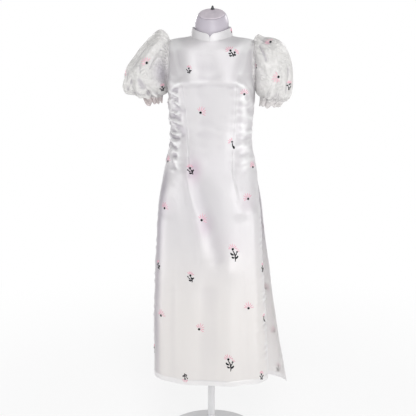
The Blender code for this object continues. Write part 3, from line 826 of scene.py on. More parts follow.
@dataclass(frozen=True)
class Crease:
    """A soft ridge, or a trough where its height is negative, seen from the front.

    It runs from (x0, z0) to (x1, z1), bows sideways by bow at its middle, and lean makes one of its
    sides steeper.
    """

    x0: float
    z0: float
    x1: float
    z1: float
    width: float
    height: float
    bow: float = 0.0
    lean: float = 0.0

    def lift(self, x: np.ndarray, z: np.ndarray) -> np.ndarray:
        """Return how far the crease moves the cloth out at each place."""
        length = math.hypot(self.x1 - self.x0, self.z1 - self.z0)
        along_x = (self.x1 - self.x0) / length
        along_z = (self.z1 - self.z0) / length
        from_x = x - self.x0
        from_z = z - self.z0
        run = (from_x * along_x + from_z * along_z) / length
        inside = np.clip(run, 0.0, 1.0)
        off = from_x * along_z - from_z * along_x - self.bow * np.sin(math.pi * inside)
        past = (run - inside) * length
        across = off / self.width
        spread = np.exp(-across ** 2 - (past / self.width) ** 2)
        return self.height * spread * (1.0 + self.lean * across)


@dataclass(frozen=True)
class Swell:
    """A long, low wave in the cloth: its lengths along X and Z, its height and its phase."""

    length_x: float
    length_z: float
    height: float
    phase: float

    def lift(self, x: np.ndarray, z: np.ndarray) -> np.ndarray:
        """Return how far the wave moves the cloth out at each place."""
        return self.height * np.sin(2 * math.pi * (x / self.length_x + z / self.length_z) + self.phase)


@dataclass(frozen=True)
class Crumple:
    """A field of small sharp creases that covers a soft-edged box seen from the front."""

    x: float
    z: float
    wide: float
    tall: float
    height: float
    length: float
    seed: float

    def lift(self, x: np.ndarray, z: np.ndarray) -> np.ndarray:
        """Return how far the crumples move the cloth out at each place."""
        cover = np.exp(-np.abs((x - self.x) / self.wide) ** 3 - np.abs((z - self.z) / self.tall) ** 3)
        scale = 2 * math.pi / self.length
        bend = 0.9 * np.sin(0.37 * scale * z + self.seed) + 0.7 * np.sin(0.31 * scale * x + 2 * self.seed)
        first = 1.0 - 2.0 * np.abs(np.sin(0.5 * scale * (z + 0.35 * x) + bend)) ** 0.8
        second = 1.0 - 2.0 * np.abs(np.sin(0.41 * scale * (0.8 * z - 0.9 * x) + 1.7 * bend + self.seed)) ** 0.8
        third = np.sin(0.9 * scale * (x + 0.3 * z) + 2.3 * bend)
        return self.height * cover * (0.55 * first + 0.35 * second + 0.2 * third)


FRONT_CRUMPLES = rows(Crumple, 6, (
    (-136, 1115, 38, 150, 3.4, 34, 0.6), (-126, 1180, 30, 60, 2.4, 19, 2.2),
    (-140, 1020, 28, 60, 2.2, 21, 4.1), (128, 1120, 30, 140, 2.2, 38, 1.9),
    (0, 1080, 70, 90, 0.6, 55, 2.7), (60, 1350, 80, 40, 0.5, 60, 0.9),
))

SLIT_CRUMPLES = rows(Crumple, 6, (
    (186, 460, 20, 260, 2.8, 36, 3.3), (176, 780, 18, 120, 2, 30, 1.3), (-190, 560, 16, 300, 2.4, 42, 5),
))

BACK_CRUMPLES = rows(Crumple, 6, (
    (-130, 1110, 30, 150, 1.8, 32, 1.6), (130, 1120, 30, 150, 1.6, 34, 2.9),
    (250, 420, 18, 220, 1.6, 36, 0.3), (-196, 460, 14, 240, 1.4, 38, 4.4),
))

FRONT_FOLDS = rows(Crease, 7, (
    (-124, 1218, -94, 1206, 13, 3), (-120, 1186, -88, 1174, 15, -3.2), (-124, 1150, -94, 1138, 13, 3),
    (-120, 1110, -90, 1100, 16, -2.8), (-128, 1072, -104, 1062, 12, 2.4), (97, 1240, 100, 1000, 8, -1.8),
    (117, 1245, 121, 990, 12, 1.8), (-78, 960, -26, 690, 28, 6), (-26, 930, 30, 680, 26, -6.5),
    (56, 900, 70, 640, 34, 4), (-120, 880, -90, 640, 24, -2.5), (74, 970, 98, 840, 18, 3),
    (150, 830, 168, 260, 20, 4.5), (118, 800, 130, 240, 24, -4.5), (-150, 800, -160, 260, 24, 4),
    (70, 640, 82, 240, 32, 4), (-6, 560, 10, 240, 34, -4.5), (-70, 540, -76, 240, 32, 4),
    (-124, 560, -130, 240, 22, -3.5), (-90, 1268, 90, 1270, 16, 2.4), (-70, 1232, 70, 1234, 18, -2.2),
    (-76, 1350, -50, 1285, 26, 2.2), (-16, 1352, -6, 1285, 26, -1.6), (40, 1340, 54, 1285, 24, 2),
    (100, 1330, 104, 1285, 22, -1.6), (-118, 1190, -140, 1160, 10, 2.5), (-112, 1150, -138, 1115, 10, 2.5),
    (-110, 1105, -136, 1075, 10, 2.5), (-116, 1060, -142, 1030, 10, 2.5), (112, 1180, 136, 1150, 11, 2),
    (110, 1120, 132, 1095, 11, 2), (110, 1060, 134, 1035, 11, 2),
))

FRONT_CREASES = rows(Crease, 7, (
    # Bust line between the dart tips
    (-86, 1270, 90, 1271, 8.5, 3, -3, 0.4), (-84, 1254, 88, 1255, 9, -2.2, -3),
    (-86, 1268, -118, 1252, 5, 1.8, 3), (-88, 1256, -116, 1240, 5, -1.4),
    (92, 1268, 126, 1240, 5, 1.8, -4), (94, 1256, 122, 1226, 5.5, -1.4), (112, 1262, 136, 1205, 6, 2, -4),
    (22, 1252, 58, 1254, 4, 1),
    # Puckers along the right side seam
    (-104, 1226, -140, 1238, 6, 3, 2, 0.6), (-106, 1212, -142, 1220, 5.5, -2.6, 2),
    (-98, 1196, -141, 1205, 6.5, 3.2, 3, -0.5), (-108, 1181, -143, 1186, 5, -2.6),
    (-100, 1166, -142, 1176, 6, 2.6, -2, 0.5), (-104, 1148, -140, 1156, 6, -3, 2),
    (-96, 1131, -139, 1140, 6.5, 3.4, 3, 0.6), (-104, 1116, -138, 1121, 5, -2.6),
    (-98, 1098, -138, 1107, 6, 2.8, -3, -0.5), (-104, 1082, -139, 1088, 5.5, -2.8),
    (-100, 1066, -141, 1072, 6, 3.2, 2, 0.5), (-108, 1050, -143, 1054, 5, -2.4),
    (-106, 1034, -146, 1040, 5.5, 2.6, 2, 0.5), (-114, 1020, -150, 1023, 5, -2.2),
    (-116, 1006, -153, 1010, 5.5, 2.4, 2), (-124, 990, -156, 992, 5, -1.8), (-122, 976, -158, 979, 5.5, 2),
    (-94, 1246, -86, 1150, 7, 1.6, 3), (-100, 1205, -94, 1090, 6, -1.6, -3),
    # Gentler pulls along the left side seam
    (104, 1216, 141, 1196, 7.5, 1.8, 2), (108, 1190, 141, 1172, 7, -1.6),
    (100, 1160, 138, 1148, 8, 1.8, -2), (104, 1136, 136, 1128, 7, -1.5), (98, 1108, 134, 1104, 8, 1.8, 2),
    (104, 1082, 134, 1080, 7, -1.5), (100, 1058, 136, 1060, 7.5, 1.8), (108, 1030, 140, 1036, 7, -1.4),
    (112, 1004, 145, 1012, 7.5, 1.6), (118, 1235, 108, 1060, 9, 1.8, 4),
    # Chest, shoulders and neck
    (-118, 1372, -96, 1300, 9, 1.2, 4), (-104, 1366, -78, 1296, 10, -1, 4),
    (120, 1368, 104, 1300, 9, 1.2, -4), (106, 1356, 86, 1296, 10, -1), (-58, 1392, -30, 1374, 5, 0.7),
    (-62, 1380, -20, 1362, 6, 0.6), (30, 1378, 62, 1390, 5, 0.7), (20, 1330, 52, 1300, 14, 0.8),
    # Waist
    (-52, 1120, 10, 1112, 8, 0.8, 3), (-30, 1096, 50, 1090, 9, -0.8, 3), (6, 1070, 66, 1062, 8, 0.9, -3),
    (-60, 1052, -12, 1044, 9, 0.9, 3), (-4, 1230, 8, 1060, 16, 0.8, 4), (44, 1220, 36, 1010, 15, -0.8, 3),
    # Hip and skirt
    (-66, 950, -60, 900, 6, 2, 2, 0.5), (-60, 905, -36, 830, 7, 2.2, 3, 0.5),
    (-36, 832, -12, 706, 8, 1.8, 2), (-78, 936, -56, 850, 8, -1.8, 2),
    (78, 950, 94, 880, 6, 1.8, -3, -0.5), (90, 936, 108, 870, 7, -1.4), (110, 910, 128, 700, 8, 1.6, 6),
    (140, 860, 150, 600, 7, 2, -4), (160, 700, 172, 420, 6, 2.2, 4), (172, 560, 184, 250, 5.5, -2, 3),
    (118, 640, 126, 300, 9, 1.8, 6), (70, 700, 80, 360, 12, 1.4, -8), (50, 520, 52, 240, 11, -1.4, 4),
    (0, 480, 4, 240, 12, 1.4, -5), (-30, 620, -34, 300, 13, 1.3, 6), (-96, 640, -104, 240, 11, 1.8, 6),
    (-122, 780, -130, 420, 10, -1.8, -5), (-140, 560, -142, 240, 8, -2, 4),
    (-160, 900, -172, 640, 7, 2, 3), (-172, 620, -178, 250, 6.5, -2, -3), (-184, 540, -188, 240, 6, 2, 2),
    (-118, 300, -40, 262, 10, 1.2, 4), (30, 268, 110, 286, 10, 1.2, -4),
))

BACK_FOLDS = rows(Crease, 7, (
    (-120, 800, -135, 240, 16, 4), (-70, 700, -80, 240, 18, -3.5), (80, 780, 110, 240, 18, 4.5),
    (140, 760, 190, 240, 18, -4), (165, 700, 230, 240, 18, 4), (-110, 1180, -136, 1150, 11, 2),
    (-108, 1115, -132, 1090, 11, 2), (110, 1175, 134, 1145, 11, 2), (106, 1110, 130, 1085, 11, 2),
))

BACK_CREASES = rows(Crease, 7, (
    # Shoulder blades and armholes
    (-118, 1380, -90, 1290, 9, 1.2, 4), (118, 1376, 92, 1292, 9, 1.2, -4),
    (-100, 1300, -60, 1250, 11, 1, 4), (98, 1298, 56, 1244, 11, 1, -4), (-70, 1392, 66, 1388, 10, 0.8, 4),
    # Waist, pulled across the small of the back
    (-92, 1150, -20, 1134, 9, 1.4, 3), (-86, 1128, -12, 1112, 8, -1.3, 3),
    (-94, 1104, -18, 1092, 9, 1.5, 2), (-90, 1080, -22, 1072, 8, -1.2), (-96, 1056, -30, 1052, 9, 1.3, -3),
    (14, 1146, 88, 1158, 9, 1.4, -3), (12, 1122, 84, 1132, 8, -1.3), (18, 1100, 90, 1106, 9, 1.5, 2),
    (20, 1076, 86, 1082, 8, -1.2), (26, 1050, 92, 1056, 9, 1.3, 3),
    # Puckers along both side seams
    (-106, 1222, -141, 1232, 6, 2.4, 2, 0.5), (-102, 1204, -141, 1212, 6, -2.2),
    (-100, 1186, -141, 1192, 6.5, 2.6, 2), (-102, 1160, -140, 1166, 6, -2.2),
    (-100, 1136, -138, 1142, 6.5, 2.4, -2, 0.5), (-104, 1108, -137, 1112, 6, -2.2),
    (-100, 1082, -139, 1086, 6.5, 2.4, 2), (-106, 1056, -142, 1058, 5.5, -2),
    (-108, 1030, -146, 1034, 6, 2), (104, 1220, 140, 1210, 7, 1.8, 2), (104, 1196, 139, 1186, 7, -1.6),
    (100, 1168, 138, 1160, 7, 1.8), (102, 1138, 136, 1134, 7, -1.6), (100, 1088, 134, 1088, 7, 1.8),
    (104, 1054, 136, 1058, 7, -1.5), (108, 1024, 141, 1030, 7, 1.6),
    # Skirt
    (-90, 940, -104, 640, 11, 2.2, 6), (-150, 880, -170, 520, 9, 2.2, -5),
    (-160, 560, -176, 220, 9, -2.4, 4), (-184, 600, -196, 220, 8, 2.2, 3),
    (-100, 460, -106, 210, 11, -2.2, 5), (-40, 900, -46, 520, 14, 1.6, 8), (-44, 500, -48, 220, 13, 2, -6),
    (34, 860, 40, 420, 15, -1.8, 6), (50, 460, 62, 220, 12, 2, 5), (100, 930, 124, 600, 11, 2.2, -5),
    (134, 600, 160, 230, 10, 2.4, 6), (196, 520, 232, 230, 9, -2.6, 4), (214, 420, 252, 215, 8, 2.4, -3),
    (86, 330, 180, 262, 11, 1.4, 6),
))

FRONT_SWELLS = rows(Swell, 3, (
    (190, 1900, 1.8, 0.4), (-127, 840, 1.2, 2.1), (81, 530, 0.7, 4), (260, 230, 1, 1),
))

BACK_SWELLS = rows(Swell, 3, (
    (170, 1600, 1.8, 1.4), (-113, 790, 1.2, 3.1), (77, 560, 0.7, 5.2), (240, 210, 1, 2.6),
))


@dataclass(frozen=True)
class Dart:
    """A stitched dart: at each ring number, the share of the panel's reach at which it runs.

    It is sewn from ring low to ring high. Above and below, the line only guides the grid.
    """

    side: Side
    rings: tuple
    shares: tuple
    low: float
    high: float

    def share(self, level: np.ndarray) -> np.ndarray:
        """Return the share of the reach at ring numbers."""
        return np.interp(level, self.rings, self.shares)

    def angle(self, family: RingFamily, level: float, back: bool) -> float:
        """Return the dart's angle on a ring, in degrees from the front towards +X."""
        power = 2.0 / float(family.read("square", level))
        own = math.degrees(math.asin(float(self.share(level)) ** (1.0 / power)))
        return (180.0 - own if back else own) * self.side.value


FRONT_DARTS = (
    Dart(Side.RIGHT, (0, 9, 10, 12, 13, 14, 16, 18, 19, 20, 24, 28),
         (0.37, 0.378, 0.400, 0.461, 0.495, 0.516, 0.534, 0.567, 0.578, 0.56, 0.45, 0.40), 9.3, 19.0),
    Dart(Side.LEFT, (0, 9, 10, 12, 13, 15, 17, 19, 20, 24, 28),
         (0.45, 0.517, 0.530, 0.571, 0.594, 0.600, 0.603, 0.619, 0.58, 0.46, 0.40), 9.3, 19.0),
)

BACK_DARTS = tuple(
    Dart(side, (0, 9, 12, 14, 17, 19, 24, 28), (0.38, 0.42, 0.46, 0.50, 0.50, 0.50, 0.45, 0.40), 10.2, 18.2)
    for side in Side)


# Cloth panels


@dataclass
class Laid:
    """A panel's grid once it is laid out: its points, its normals and where each point is on it."""

    outer: np.ndarray
    normals: np.ndarray
    levels: np.ndarray
    angles: np.ndarray
    from_start: np.ndarray
    from_end: np.ndarray
    double: np.ndarray


@dataclass
class Panel:
    """One cut piece of the body, from hem to neck, with its creases, darts, hem and slit edges."""

    name: str
    family: RingFamily
    folds: tuple
    creases: tuple
    swells: tuple
    darts: tuple
    span: Callable[[float], tuple]
    back: bool
    flat: tuple[float, float]
    area: float
    columns: int = 34
    row_step: float = 0.0046
    edge_pull: float = 0.62
    thick: float = 0.0008
    skirt_depth: float = -0.45
    right_gain: float = 0.9
    left_gain: float = -0.2
    # Shares and limits of the painted shade in creases and hollows, and of the painted highlight on ridges.
    painted_shade_share: float = 0.60
    skirt_painted_shade: float = 0.08
    skirt_broad: float = 0.26
    front_shade: float = 0.35
    left_shade: float = 0.40
    crest_floor: float = 0.26
    crest_gain: float = 1.35
    hem_bright: float = 0.72
    edge_shade: float = 0.75
    edge_in: float = 0.015
    edge_wide: float = 0.015
    inside_shade: float = 0.15
    deepest: float = 0.0026
    seam_pucker: float = 0.0011
    seam_reach: float = 0.009
    hem_height: float = 0.018
    slit_top_level: float = 10.6
    slit_edge: float = 0.008
    fold_step: float = 0.0008
    stitch_dip: float = 0.0009
    stitch_width: float = 0.0013
    dart_dip: float = 0.0007
    dart_swell: float = 0.0005
    dart_width: float = 0.0017
    blush: tuple = ()
    laid: Optional[Laid] = None

    def row_levels(self) -> np.ndarray:
        """Return the ring numbers of the grid's rows, closer together at the hem's stitching."""
        middle = 180.0 if self.back else 0.0
        levels = self.family.levels(middle, self.row_step, 0.0, float(self.family.last))
        rise = self.hem_height / (self.family.rings[1].side_z - self.family.rings[0].side_z)
        close = rise * np.array([0.06, 0.82, 0.88, 0.93, 0.97, 1.0, 1.03, 1.07, 1.12, 1.18])
        return np.unique(np.concatenate([levels, close]))

    def row_angles(self, level: float) -> tuple[np.ndarray, np.ndarray, float]:
        """Space one row's columns, closer together at its ends and at the darts.

        Args:
            level: The row's ring number.

        Returns:
            The columns' angles, how far each lies along the row, and the row's length.
        """
        start, end = self.span(level)
        stops = [start]
        stops += sorted(dart.angle(self.family, level, self.back) % 360 if self.back else
                        dart.angle(self.family, level, self.back) for dart in self.darts)
        stops.append(end)
        angles, run = self.family.run(level, start, end)
        marks = np.interp(stops, angles, run)
        margin = SEAM_GAP / 2
        marks[0] += margin
        marks[-1] -= margin
        places = []
        share = np.linspace(0.0, 1.0, self.columns + 1)
        share = share - self.edge_pull * np.sin(2 * math.pi * share) / (2 * math.pi)
        for low, high in zip(marks[:-1], marks[1:]):
            places.append(low + (high - low) * share[:-1])
        places.append([marks[-1]])
        wanted = np.concatenate(places)
        return np.interp(wanted, run, angles), wanted, float(run[-1])

    def lay(self) -> None:
        """Work out the panel's outer surface with all its creases, darts and hems."""
        levels = self.row_levels()
        rows = [self.row_angles(float(level)) for level in levels]
        angles = np.array([row[0] for row in rows])
        along = np.array([row[1] for row in rows])
        length = np.array([row[2] for row in rows])[:, None]
        level_grid = np.repeat(levels[:, None], angles.shape[1], axis=1)
        base = self.family.points(angles, level_grid)
        normals = self.family.normals(angles, level_grid)
        edge = self.edge_distance(along, length - along)
        lift = self.creased(base, level_grid) + self.darted(base, level_grid)
        lift = self.joined(lift, base, level_grid, edge)
        middle = 1.0 - smooth_step(np.abs(base[..., 0]), 0.10, 0.13)
        loose = (1.0 - smooth_step(level_grid, 8.5, 10.0)) * middle
        deepest = self.deepest * (1.0 + 2.2 * np.maximum(loose, 1.0 - smooth_step(level_grid, 5.0, 6.0)))
        lift = np.where(lift < 0, -deepest * np.tanh(-lift / deepest), lift)
        double, dip = self.hemmed(base, level_grid, edge)
        lift = lift + double * self.fold_step - dip
        outer = base + normals * lift[..., None]
        self.laid = Laid(outer, grid_normals(outer, False), level_grid, angles, along, length - along, double)

    def joined(self, lift: np.ndarray, base: np.ndarray, level: np.ndarray, edge: np.ndarray) -> np.ndarray:
        """Bring the lift at the side seams to one that depends on height alone, so that panels meet."""
        z = base[..., 2]
        shared = self.seam_pucker * np.sin(2 * math.pi * z / 0.043 + 0.8 * np.sign(base[..., 0]))
        shared = shared + 0.6 * self.seam_pucker * np.sin(2 * math.pi * z / 0.019 + np.sign(base[..., 0]))
        fade = smooth_step(level, self.slit_top_level - 0.8, self.slit_top_level + 0.2)
        shared = shared * (1.0 - smooth_step(level, 16.5, 18.0))
        hold = (1.0 - smooth_step(edge, 0.001, self.seam_reach)) * fade
        centre = 1.0 - smooth_step(np.abs(base[..., 0]), 0.0005, 0.012)
        if self.back:
            lift = lift * (1.0 - 0.9 * centre)
        return lift * (1.0 - hold) + shared * hold

    def creased(self, base: np.ndarray, level: np.ndarray) -> np.ndarray:
        """Return the lift of the folds, creases and swells, which fade out on the shoulders."""
        x, z = base[..., 0], base[..., 2]
        lift = sum(fold.lift(x, z) for fold in self.folds)
        fine = sum(crease.lift(x, z) for crease in (*self.creases, *self.swells))
        calm = 1.0 - 0.8 * smooth_step(level, 22.0, 25.0)
        neck = 1.0 - smooth_step(level, 27.0, 28.0)
        skirt = 1.0 + self.skirt_depth * (1.0 - smooth_step(level, 8.0, 11.0))
        gain = np.where(x < 0, self.right_gain, self.left_gain)
        flank = smooth_step(np.abs(x), 0.085, 0.110) * smooth_step(level, 10.0, 11.0)
        flank = 1.0 + gain * flank * (1.0 - smooth_step(level, 17.5, 19.0))
        return lift + fine * calm * neck * skirt * flank

    def darted(self, base: np.ndarray, level: np.ndarray) -> np.ndarray:
        """Return the lift round the darts: a fine seam line between low swells, with small puckers."""
        lift = np.zeros(level.shape)
        for dart in self.darts:
            line = dart.share(level) * self.family.read(dart.side.word, level) * dart.side.value
            off = base[..., 0] - line
            sewn = smooth_step(level, dart.low, dart.low + 0.5) * (1.0 - smooth_step(level, dart.high - 0.4,
                                                                                       dart.high + 0.1))
            seam = -self.dart_dip * np.exp(-(off / self.dart_width) ** 2)
            swell = self.dart_swell * np.exp(-((np.abs(off) - 0.005) / 0.004) ** 2)
            ripple = 0.0005 * np.sin(2 * math.pi * base[..., 2] / 0.031 + dart.side.value)
            ripple = ripple * np.exp(-(off / 0.012) ** 2)
            lift += sewn * (seam + swell + ripple)
        return lift

    def hemmed(self, base: np.ndarray, level: np.ndarray, edge: np.ndarray) -> tuple:
        """Find the turned-up cloth of the hem and the slit edges.

        Args:
            base: The panel's points before its creases.
            level: Their ring numbers.
            edge: How far each is from a slit edge.

        Returns:
            Where the cloth is double, from 0 to 1, and how deep the stitching pulls it in.
        """
        low = base[..., 2] - self.family.rings[0].side_z
        hem = 1.0 - smooth_step(low, self.hem_height - 0.0006, self.hem_height + 0.0006)
        open_side = 1.0 - smooth_step(level, self.slit_top_level - 0.2, self.slit_top_level)
        slit = (1.0 - smooth_step(edge, self.slit_edge - 0.001, self.slit_edge + 0.001)) * open_side
        hem_line = np.exp(-((low - self.hem_height) / self.stitch_width) ** 2)
        slit_line = np.exp(-((edge - self.slit_edge) / self.stitch_width) ** 2) * open_side
        return np.maximum(hem, slit), self.stitch_dip * np.maximum(hem_line, slit_line)

    def edge_distance(self, from_start: np.ndarray, from_end: np.ndarray) -> np.ndarray:
        """Return how far each point is from the panel's nearest side edge. A back half has only one."""
        if not self.back:
            return np.minimum(from_start, from_end)
        return from_start if self.span(0.0)[1] == 180.0 else from_end

    def build(self) -> None:
        self.lay()
        laid = self.laid
        inner = laid.outer - laid.normals * (self.thick + laid.double * self.fold_step)[..., None]
        item = shell(self.name + "_cloth", laid.outer, inner, False, BACK_SATIN if self.back else SATIN)
        bodice = smooth_step(laid.levels, 9.0, 11.0)
        slit = 1.0 - smooth_step(np.minimum(laid.from_start, laid.from_end), 0.016, 0.034)
        flank = smooth_step(np.abs(laid.outer[..., 0]), 0.080, 0.105)
        busy = np.maximum(bodice * np.maximum(flank, self.front_shade), slit * (1.0 - bodice))
        # Painted highlight: ridges of the puckers at the flanks and along the slit edges are whitened, stored
        # together with the whiter double cloth of the hems.
        painted_ridge_highlight = hollows(laid.outer, -laid.normals, False, 6, 0.0010) - self.crest_floor
        painted_ridge_highlight = painted_ridge_highlight * self.crest_gain * np.maximum(bodice * flank, slit * (1.0 - bodice))
        double_cloth_and_painted_highlight = np.maximum(laid.double * self.hem_bright, painted_ridge_highlight)
        give_sides(item, "double", double_cloth_and_painted_highlight)
        give_sides(item, "blush", self.blushed(laid.outer))
        # Painted shade: creases and broad hollows, measured from the cloth's shape, darken its colour; on the
        # front the rolled right edge adds more painted shade.
        narrow = hollows(laid.outer, laid.normals, False, 6, 0.0010)
        broad = hollows(laid.outer, laid.normals, False, 50, 0.0035) * bodice
        broad += hollows(laid.outer, laid.normals, False, 200, 0.0050) * (1.0 - bodice)
        narrow *= self.skirt_painted_shade + (self.painted_shade_share - self.skirt_painted_shade) * busy
        broad *= self.skirt_broad + (self.painted_shade_share - self.skirt_broad) * bodice
        deep = np.maximum(narrow, broad) * np.where(laid.outer[..., 0] > 0.08, self.left_shade, 1.0)
        if not self.back:
            deep = np.maximum(deep, self.rolled_away())
        give_sides(item, "painted_shade", deep, self.inside_shade)
        fit(item, self.name)
        LOG.info("%s laid, %d faces", self.name, len(item.data.polygons))

    def rolled_away(self) -> np.ndarray:
        """Return the shade where the front's right edge rolls away from the light, above the hem."""
        laid = self.laid
        z = laid.outer[..., 2]
        inward = laid.outer[..., 0] + self.family.read("right", laid.levels)
        band = np.exp(-((inward - self.edge_in) / self.edge_wide) ** 2)
        high = 1.0 - smooth_step(z, 0.90, 1.04)
        low = smooth_step(z, 0.26, 0.42)
        return self.edge_shade * band * high * (0.7 + 0.3 * low) * (1.0 - 0.7 * laid.double)

    def blushed(self, points: np.ndarray) -> np.ndarray:
        """Return how strongly faint pink clouds colour the cloth."""
        tint = np.zeros(points.shape[:-1])
        for spot in self.blush:
            far = ((points[..., 0] - spot.x) / spot.wide) ** 2 + ((points[..., 2] - spot.z) / spot.tall) ** 2
            tint = np.maximum(tint, spot.strength * np.exp(-far))
        return tint


@dataclass(frozen=True)
class Blush:
    """A faint pink cloud beside a motif."""

    x: float
    z: float
    wide: float
    tall: float
    strength: float


def front_panel() -> Panel:
    """Return the front, one piece from hem to shoulders."""
    family = front_family()

    def span(level: float) -> tuple:
        """Return the panel's end angles on a ring."""
        return -cut_at(family, "right_edge", level), cut_at(family, "left_edge", level)

    clouds = (Blush(-0.048, 0.978, 0.022, 0.036, 0.80), Blush(-0.010, 0.795, 0.024, 0.034, 0.50),
              Blush(0.128, 0.868, 0.020, 0.026, 0.24), Blush(-0.150, 0.852, 0.020, 0.026, 0.24),
              Blush(0.060, 0.740, 0.050, 0.040, 0.10))
    fine = FRONT_CREASES + FRONT_CRUMPLES
    return Panel("front", family, FRONT_FOLDS + SLIT_CRUMPLES, fine, FRONT_SWELLS, FRONT_DARTS, span, False,
                 (0.50, 1.20), 0.475, blush=clouds)


def back_panel(side: Side, flat: tuple[float, float], area: float) -> Panel:
    """Return one of the two backs, which meet in a centre seam."""
    family = back_family()

    def span(level: float) -> tuple:
        """Return the half's end angles on a ring."""
        reach = cut_at(family, side.word + "_edge", level)
        return (180.0 - reach, 180.0) if side is Side.LEFT else (180.0, 180.0 + reach)

    darts = tuple(dart for dart in BACK_DARTS if dart.side is side)
    return Panel("back_" + side.word, family, BACK_FOLDS, BACK_CREASES + BACK_CRUMPLES, BACK_SWELLS, darts,
                 span, True, flat, area)


def cut_at(family: RingFamily, name: str, level: float) -> float:
    """Return where a panel is cut at a ring number, never past the side seam."""
    return min(float(family.read(name, level)), 90.0)


# Collar


@dataclass
class StandCollar:
    """A stand collar in two halves, with rounded corners at its front notch and a piped rim."""

    reach: float = 0.0695
    front: float = 0.0645
    back: float = 0.0575
    seam_z: tuple = (1.417, 1.401, 1.424)
    rim_z: tuple = (1.444, 1.4245, 1.455)
    lean: float = 0.0035
    notch_half_width: float = 0.017
    notch_floor: float = 0.0045
    columns: int = 96
    rows: int = 12
    thick: float = 0.0013
    piping: float = 0.0011
    brightness: float = 0.4
    flat: tuple[float, float] = (0.205, 0.036)
    grids: dict = field(default_factory=dict)

    def family(self) -> RingFamily:
        """Return the surface between the neck seam and the rim."""
        side, front, back = self.seam_z
        seam = Ring(side, front, back, self.reach, self.reach, self.front, self.back, 2.0)
        side, front, back = self.rim_z
        inside = self.reach - self.lean
        rim = Ring(side, front, back, inside, inside, self.front - self.lean, self.back - self.lean, 2.0)
        return RingFamily([seam, rim])

    def standing(self, low: np.ndarray) -> np.ndarray:
        """Return how much of the collar's height stands above each point of the neck seam."""
        off = np.clip(np.abs(low[:, 0]) / self.notch_half_width, 0.0, 1.0)
        off = np.where(low[:, 1] > 0, 1.0, off)
        floor = self.notch_floor / (self.rim_z[1] - self.seam_z[1])
        return floor + (1.0 - floor) * np.sqrt(1.0 - (1.0 - off) ** 2)

    def half(self, side: Side) -> tuple[np.ndarray, np.ndarray]:
        """Return the outer and inner points of one half."""
        start, end = (0.0, 180.0) if side is Side.LEFT else (180.0, 360.0)
        family = self.family()
        angles, run = family.run(0.0, start, end)
        margin = SEAM_GAP / 2
        wanted = np.linspace(margin, run[-1] - margin, self.columns + 1)
        turns = np.interp(wanted, run, angles)
        low = family.points(turns, np.zeros(self.columns + 1))
        high = family.points(turns, np.ones(self.columns + 1))
        away = unit(low * np.array([self.reach ** -2, self.front ** -2, 0.0]))
        outer = []
        for row in range(self.rows + 1):
            share = self.standing(low) * (row / self.rows)
            points = low + (high - low) * share[:, None]
            points[:, 2] += SEAM_GAP
            soft = 0.0004 * np.sin(2 * math.pi * wanted / 0.047 + side.value) * row / self.rows
            outer.append(points + away * soft[:, None])
        outer_grid = np.array(outer)
        return outer_grid, outer_grid - away[None, :, :] * self.thick

    def build(self) -> None:
        """Make both halves with the piping on their rims."""
        for side in Side:
            outer, inner = self.half(side)
            self.grids[side] = outer
            name = "collar_" + side.word
            item = shell(name + "_cloth", outer, inner, False, SATIN)
            give_attribute(item, "double", np.full(len(item.data.vertices), self.brightness))
            rim = (outer[-1] + inner[-1]) / 2
            away = unit(outer[-1] - inner[-1])
            pipe = tube(name + "_piping", rim + np.array([0.0, 0.0, 0.0002]), self.piping, 0.8,
                        np.cross(np.gradient(rim, axis=0), away), SATIN)
            give_attribute(pipe, "double", np.full(len(pipe.data.vertices), 1.0))
            fit(item, name)
            fit(pipe)


# Sleeves


@dataclass(frozen=True)
class SleeveRow:
    """A ring of a sleeve: its upper and under points, its depths, how deep its gathers are, and the
    share of that depth at the under point."""

    top_x: float
    top_z: float
    under_x: float
    under_z: float
    front: float
    back: float
    gather: float
    under_share: float


RIGHT_SLEEVE = rows(SleeveRow, 7, (
    (147, 1417, 150, 1231, 57, 57, 3, 0.6), (160, 1429, 152, 1228, 71, 69, 4.5, 0.3),
    (179, 1431, 154, 1225.8, 82, 78, 4, 0.2), (206, 1413, 155.8, 1224.2, 87, 83, 2.8, 0.2),
    (233, 1385, 157.5, 1223, 88, 84, 2.2, 0.2), (258, 1353, 159.2, 1222.1, 86, 82, 2.2, 0.2),
    (284, 1318, 160.8, 1221.4, 81, 78, 2.8, 0.2), (297, 1279, 162.4, 1220.8, 72, 70, 3.8, 0.1),
    (291, 1246, 164.1, 1220.3, 60, 59, 4.2, 0.1), (267, 1231, 165.8, 1219.8, 48, 48, 3.2, 0.1),
    (244, 1227, 167.2, 1218.5, 41, 41, 1.8, 0.6), (230, 1210, 168.2, 1211, 40, 41, 3.4, 0.8),
    (215, 1193, 170.5, 1199, 37, 40, 5.5, 0.8),
))

LEFT_SLEEVE = rows(SleeveRow, 7, (
    (146, 1414, 150, 1231, 56, 56, 3, 0.6), (156, 1419, 151.6, 1227.8, 69, 68, 4.5, 0.3),
    (175, 1412, 153.2, 1225.4, 79, 76, 4, 0.2), (202, 1411, 154.6, 1223.6, 84, 81, 2.8, 0.2),
    (230, 1399, 155.9, 1222.1, 86, 83, 2.2, 0.2), (252, 1370, 157.2, 1220.9, 85, 82, 2.2, 0.2),
    (266, 1330, 158.5, 1219.9, 80, 78, 2.8, 0.2), (271, 1285, 159.8, 1219.1, 71, 70, 3.8, 0.1),
    (268, 1242, 161.1, 1218.4, 60, 59, 4.2, 0.1), (259, 1218, 162.2, 1217.7, 54, 52, 3.2, 0.3),
    (248, 1208, 163, 1214, 50, 47, 1.8, 0.6), (239, 1199, 163.2, 1203, 47, 45, 3.4, 0.8),
    (228, 1190, 162, 1191, 45, 44, 5.5, 0.8),
))


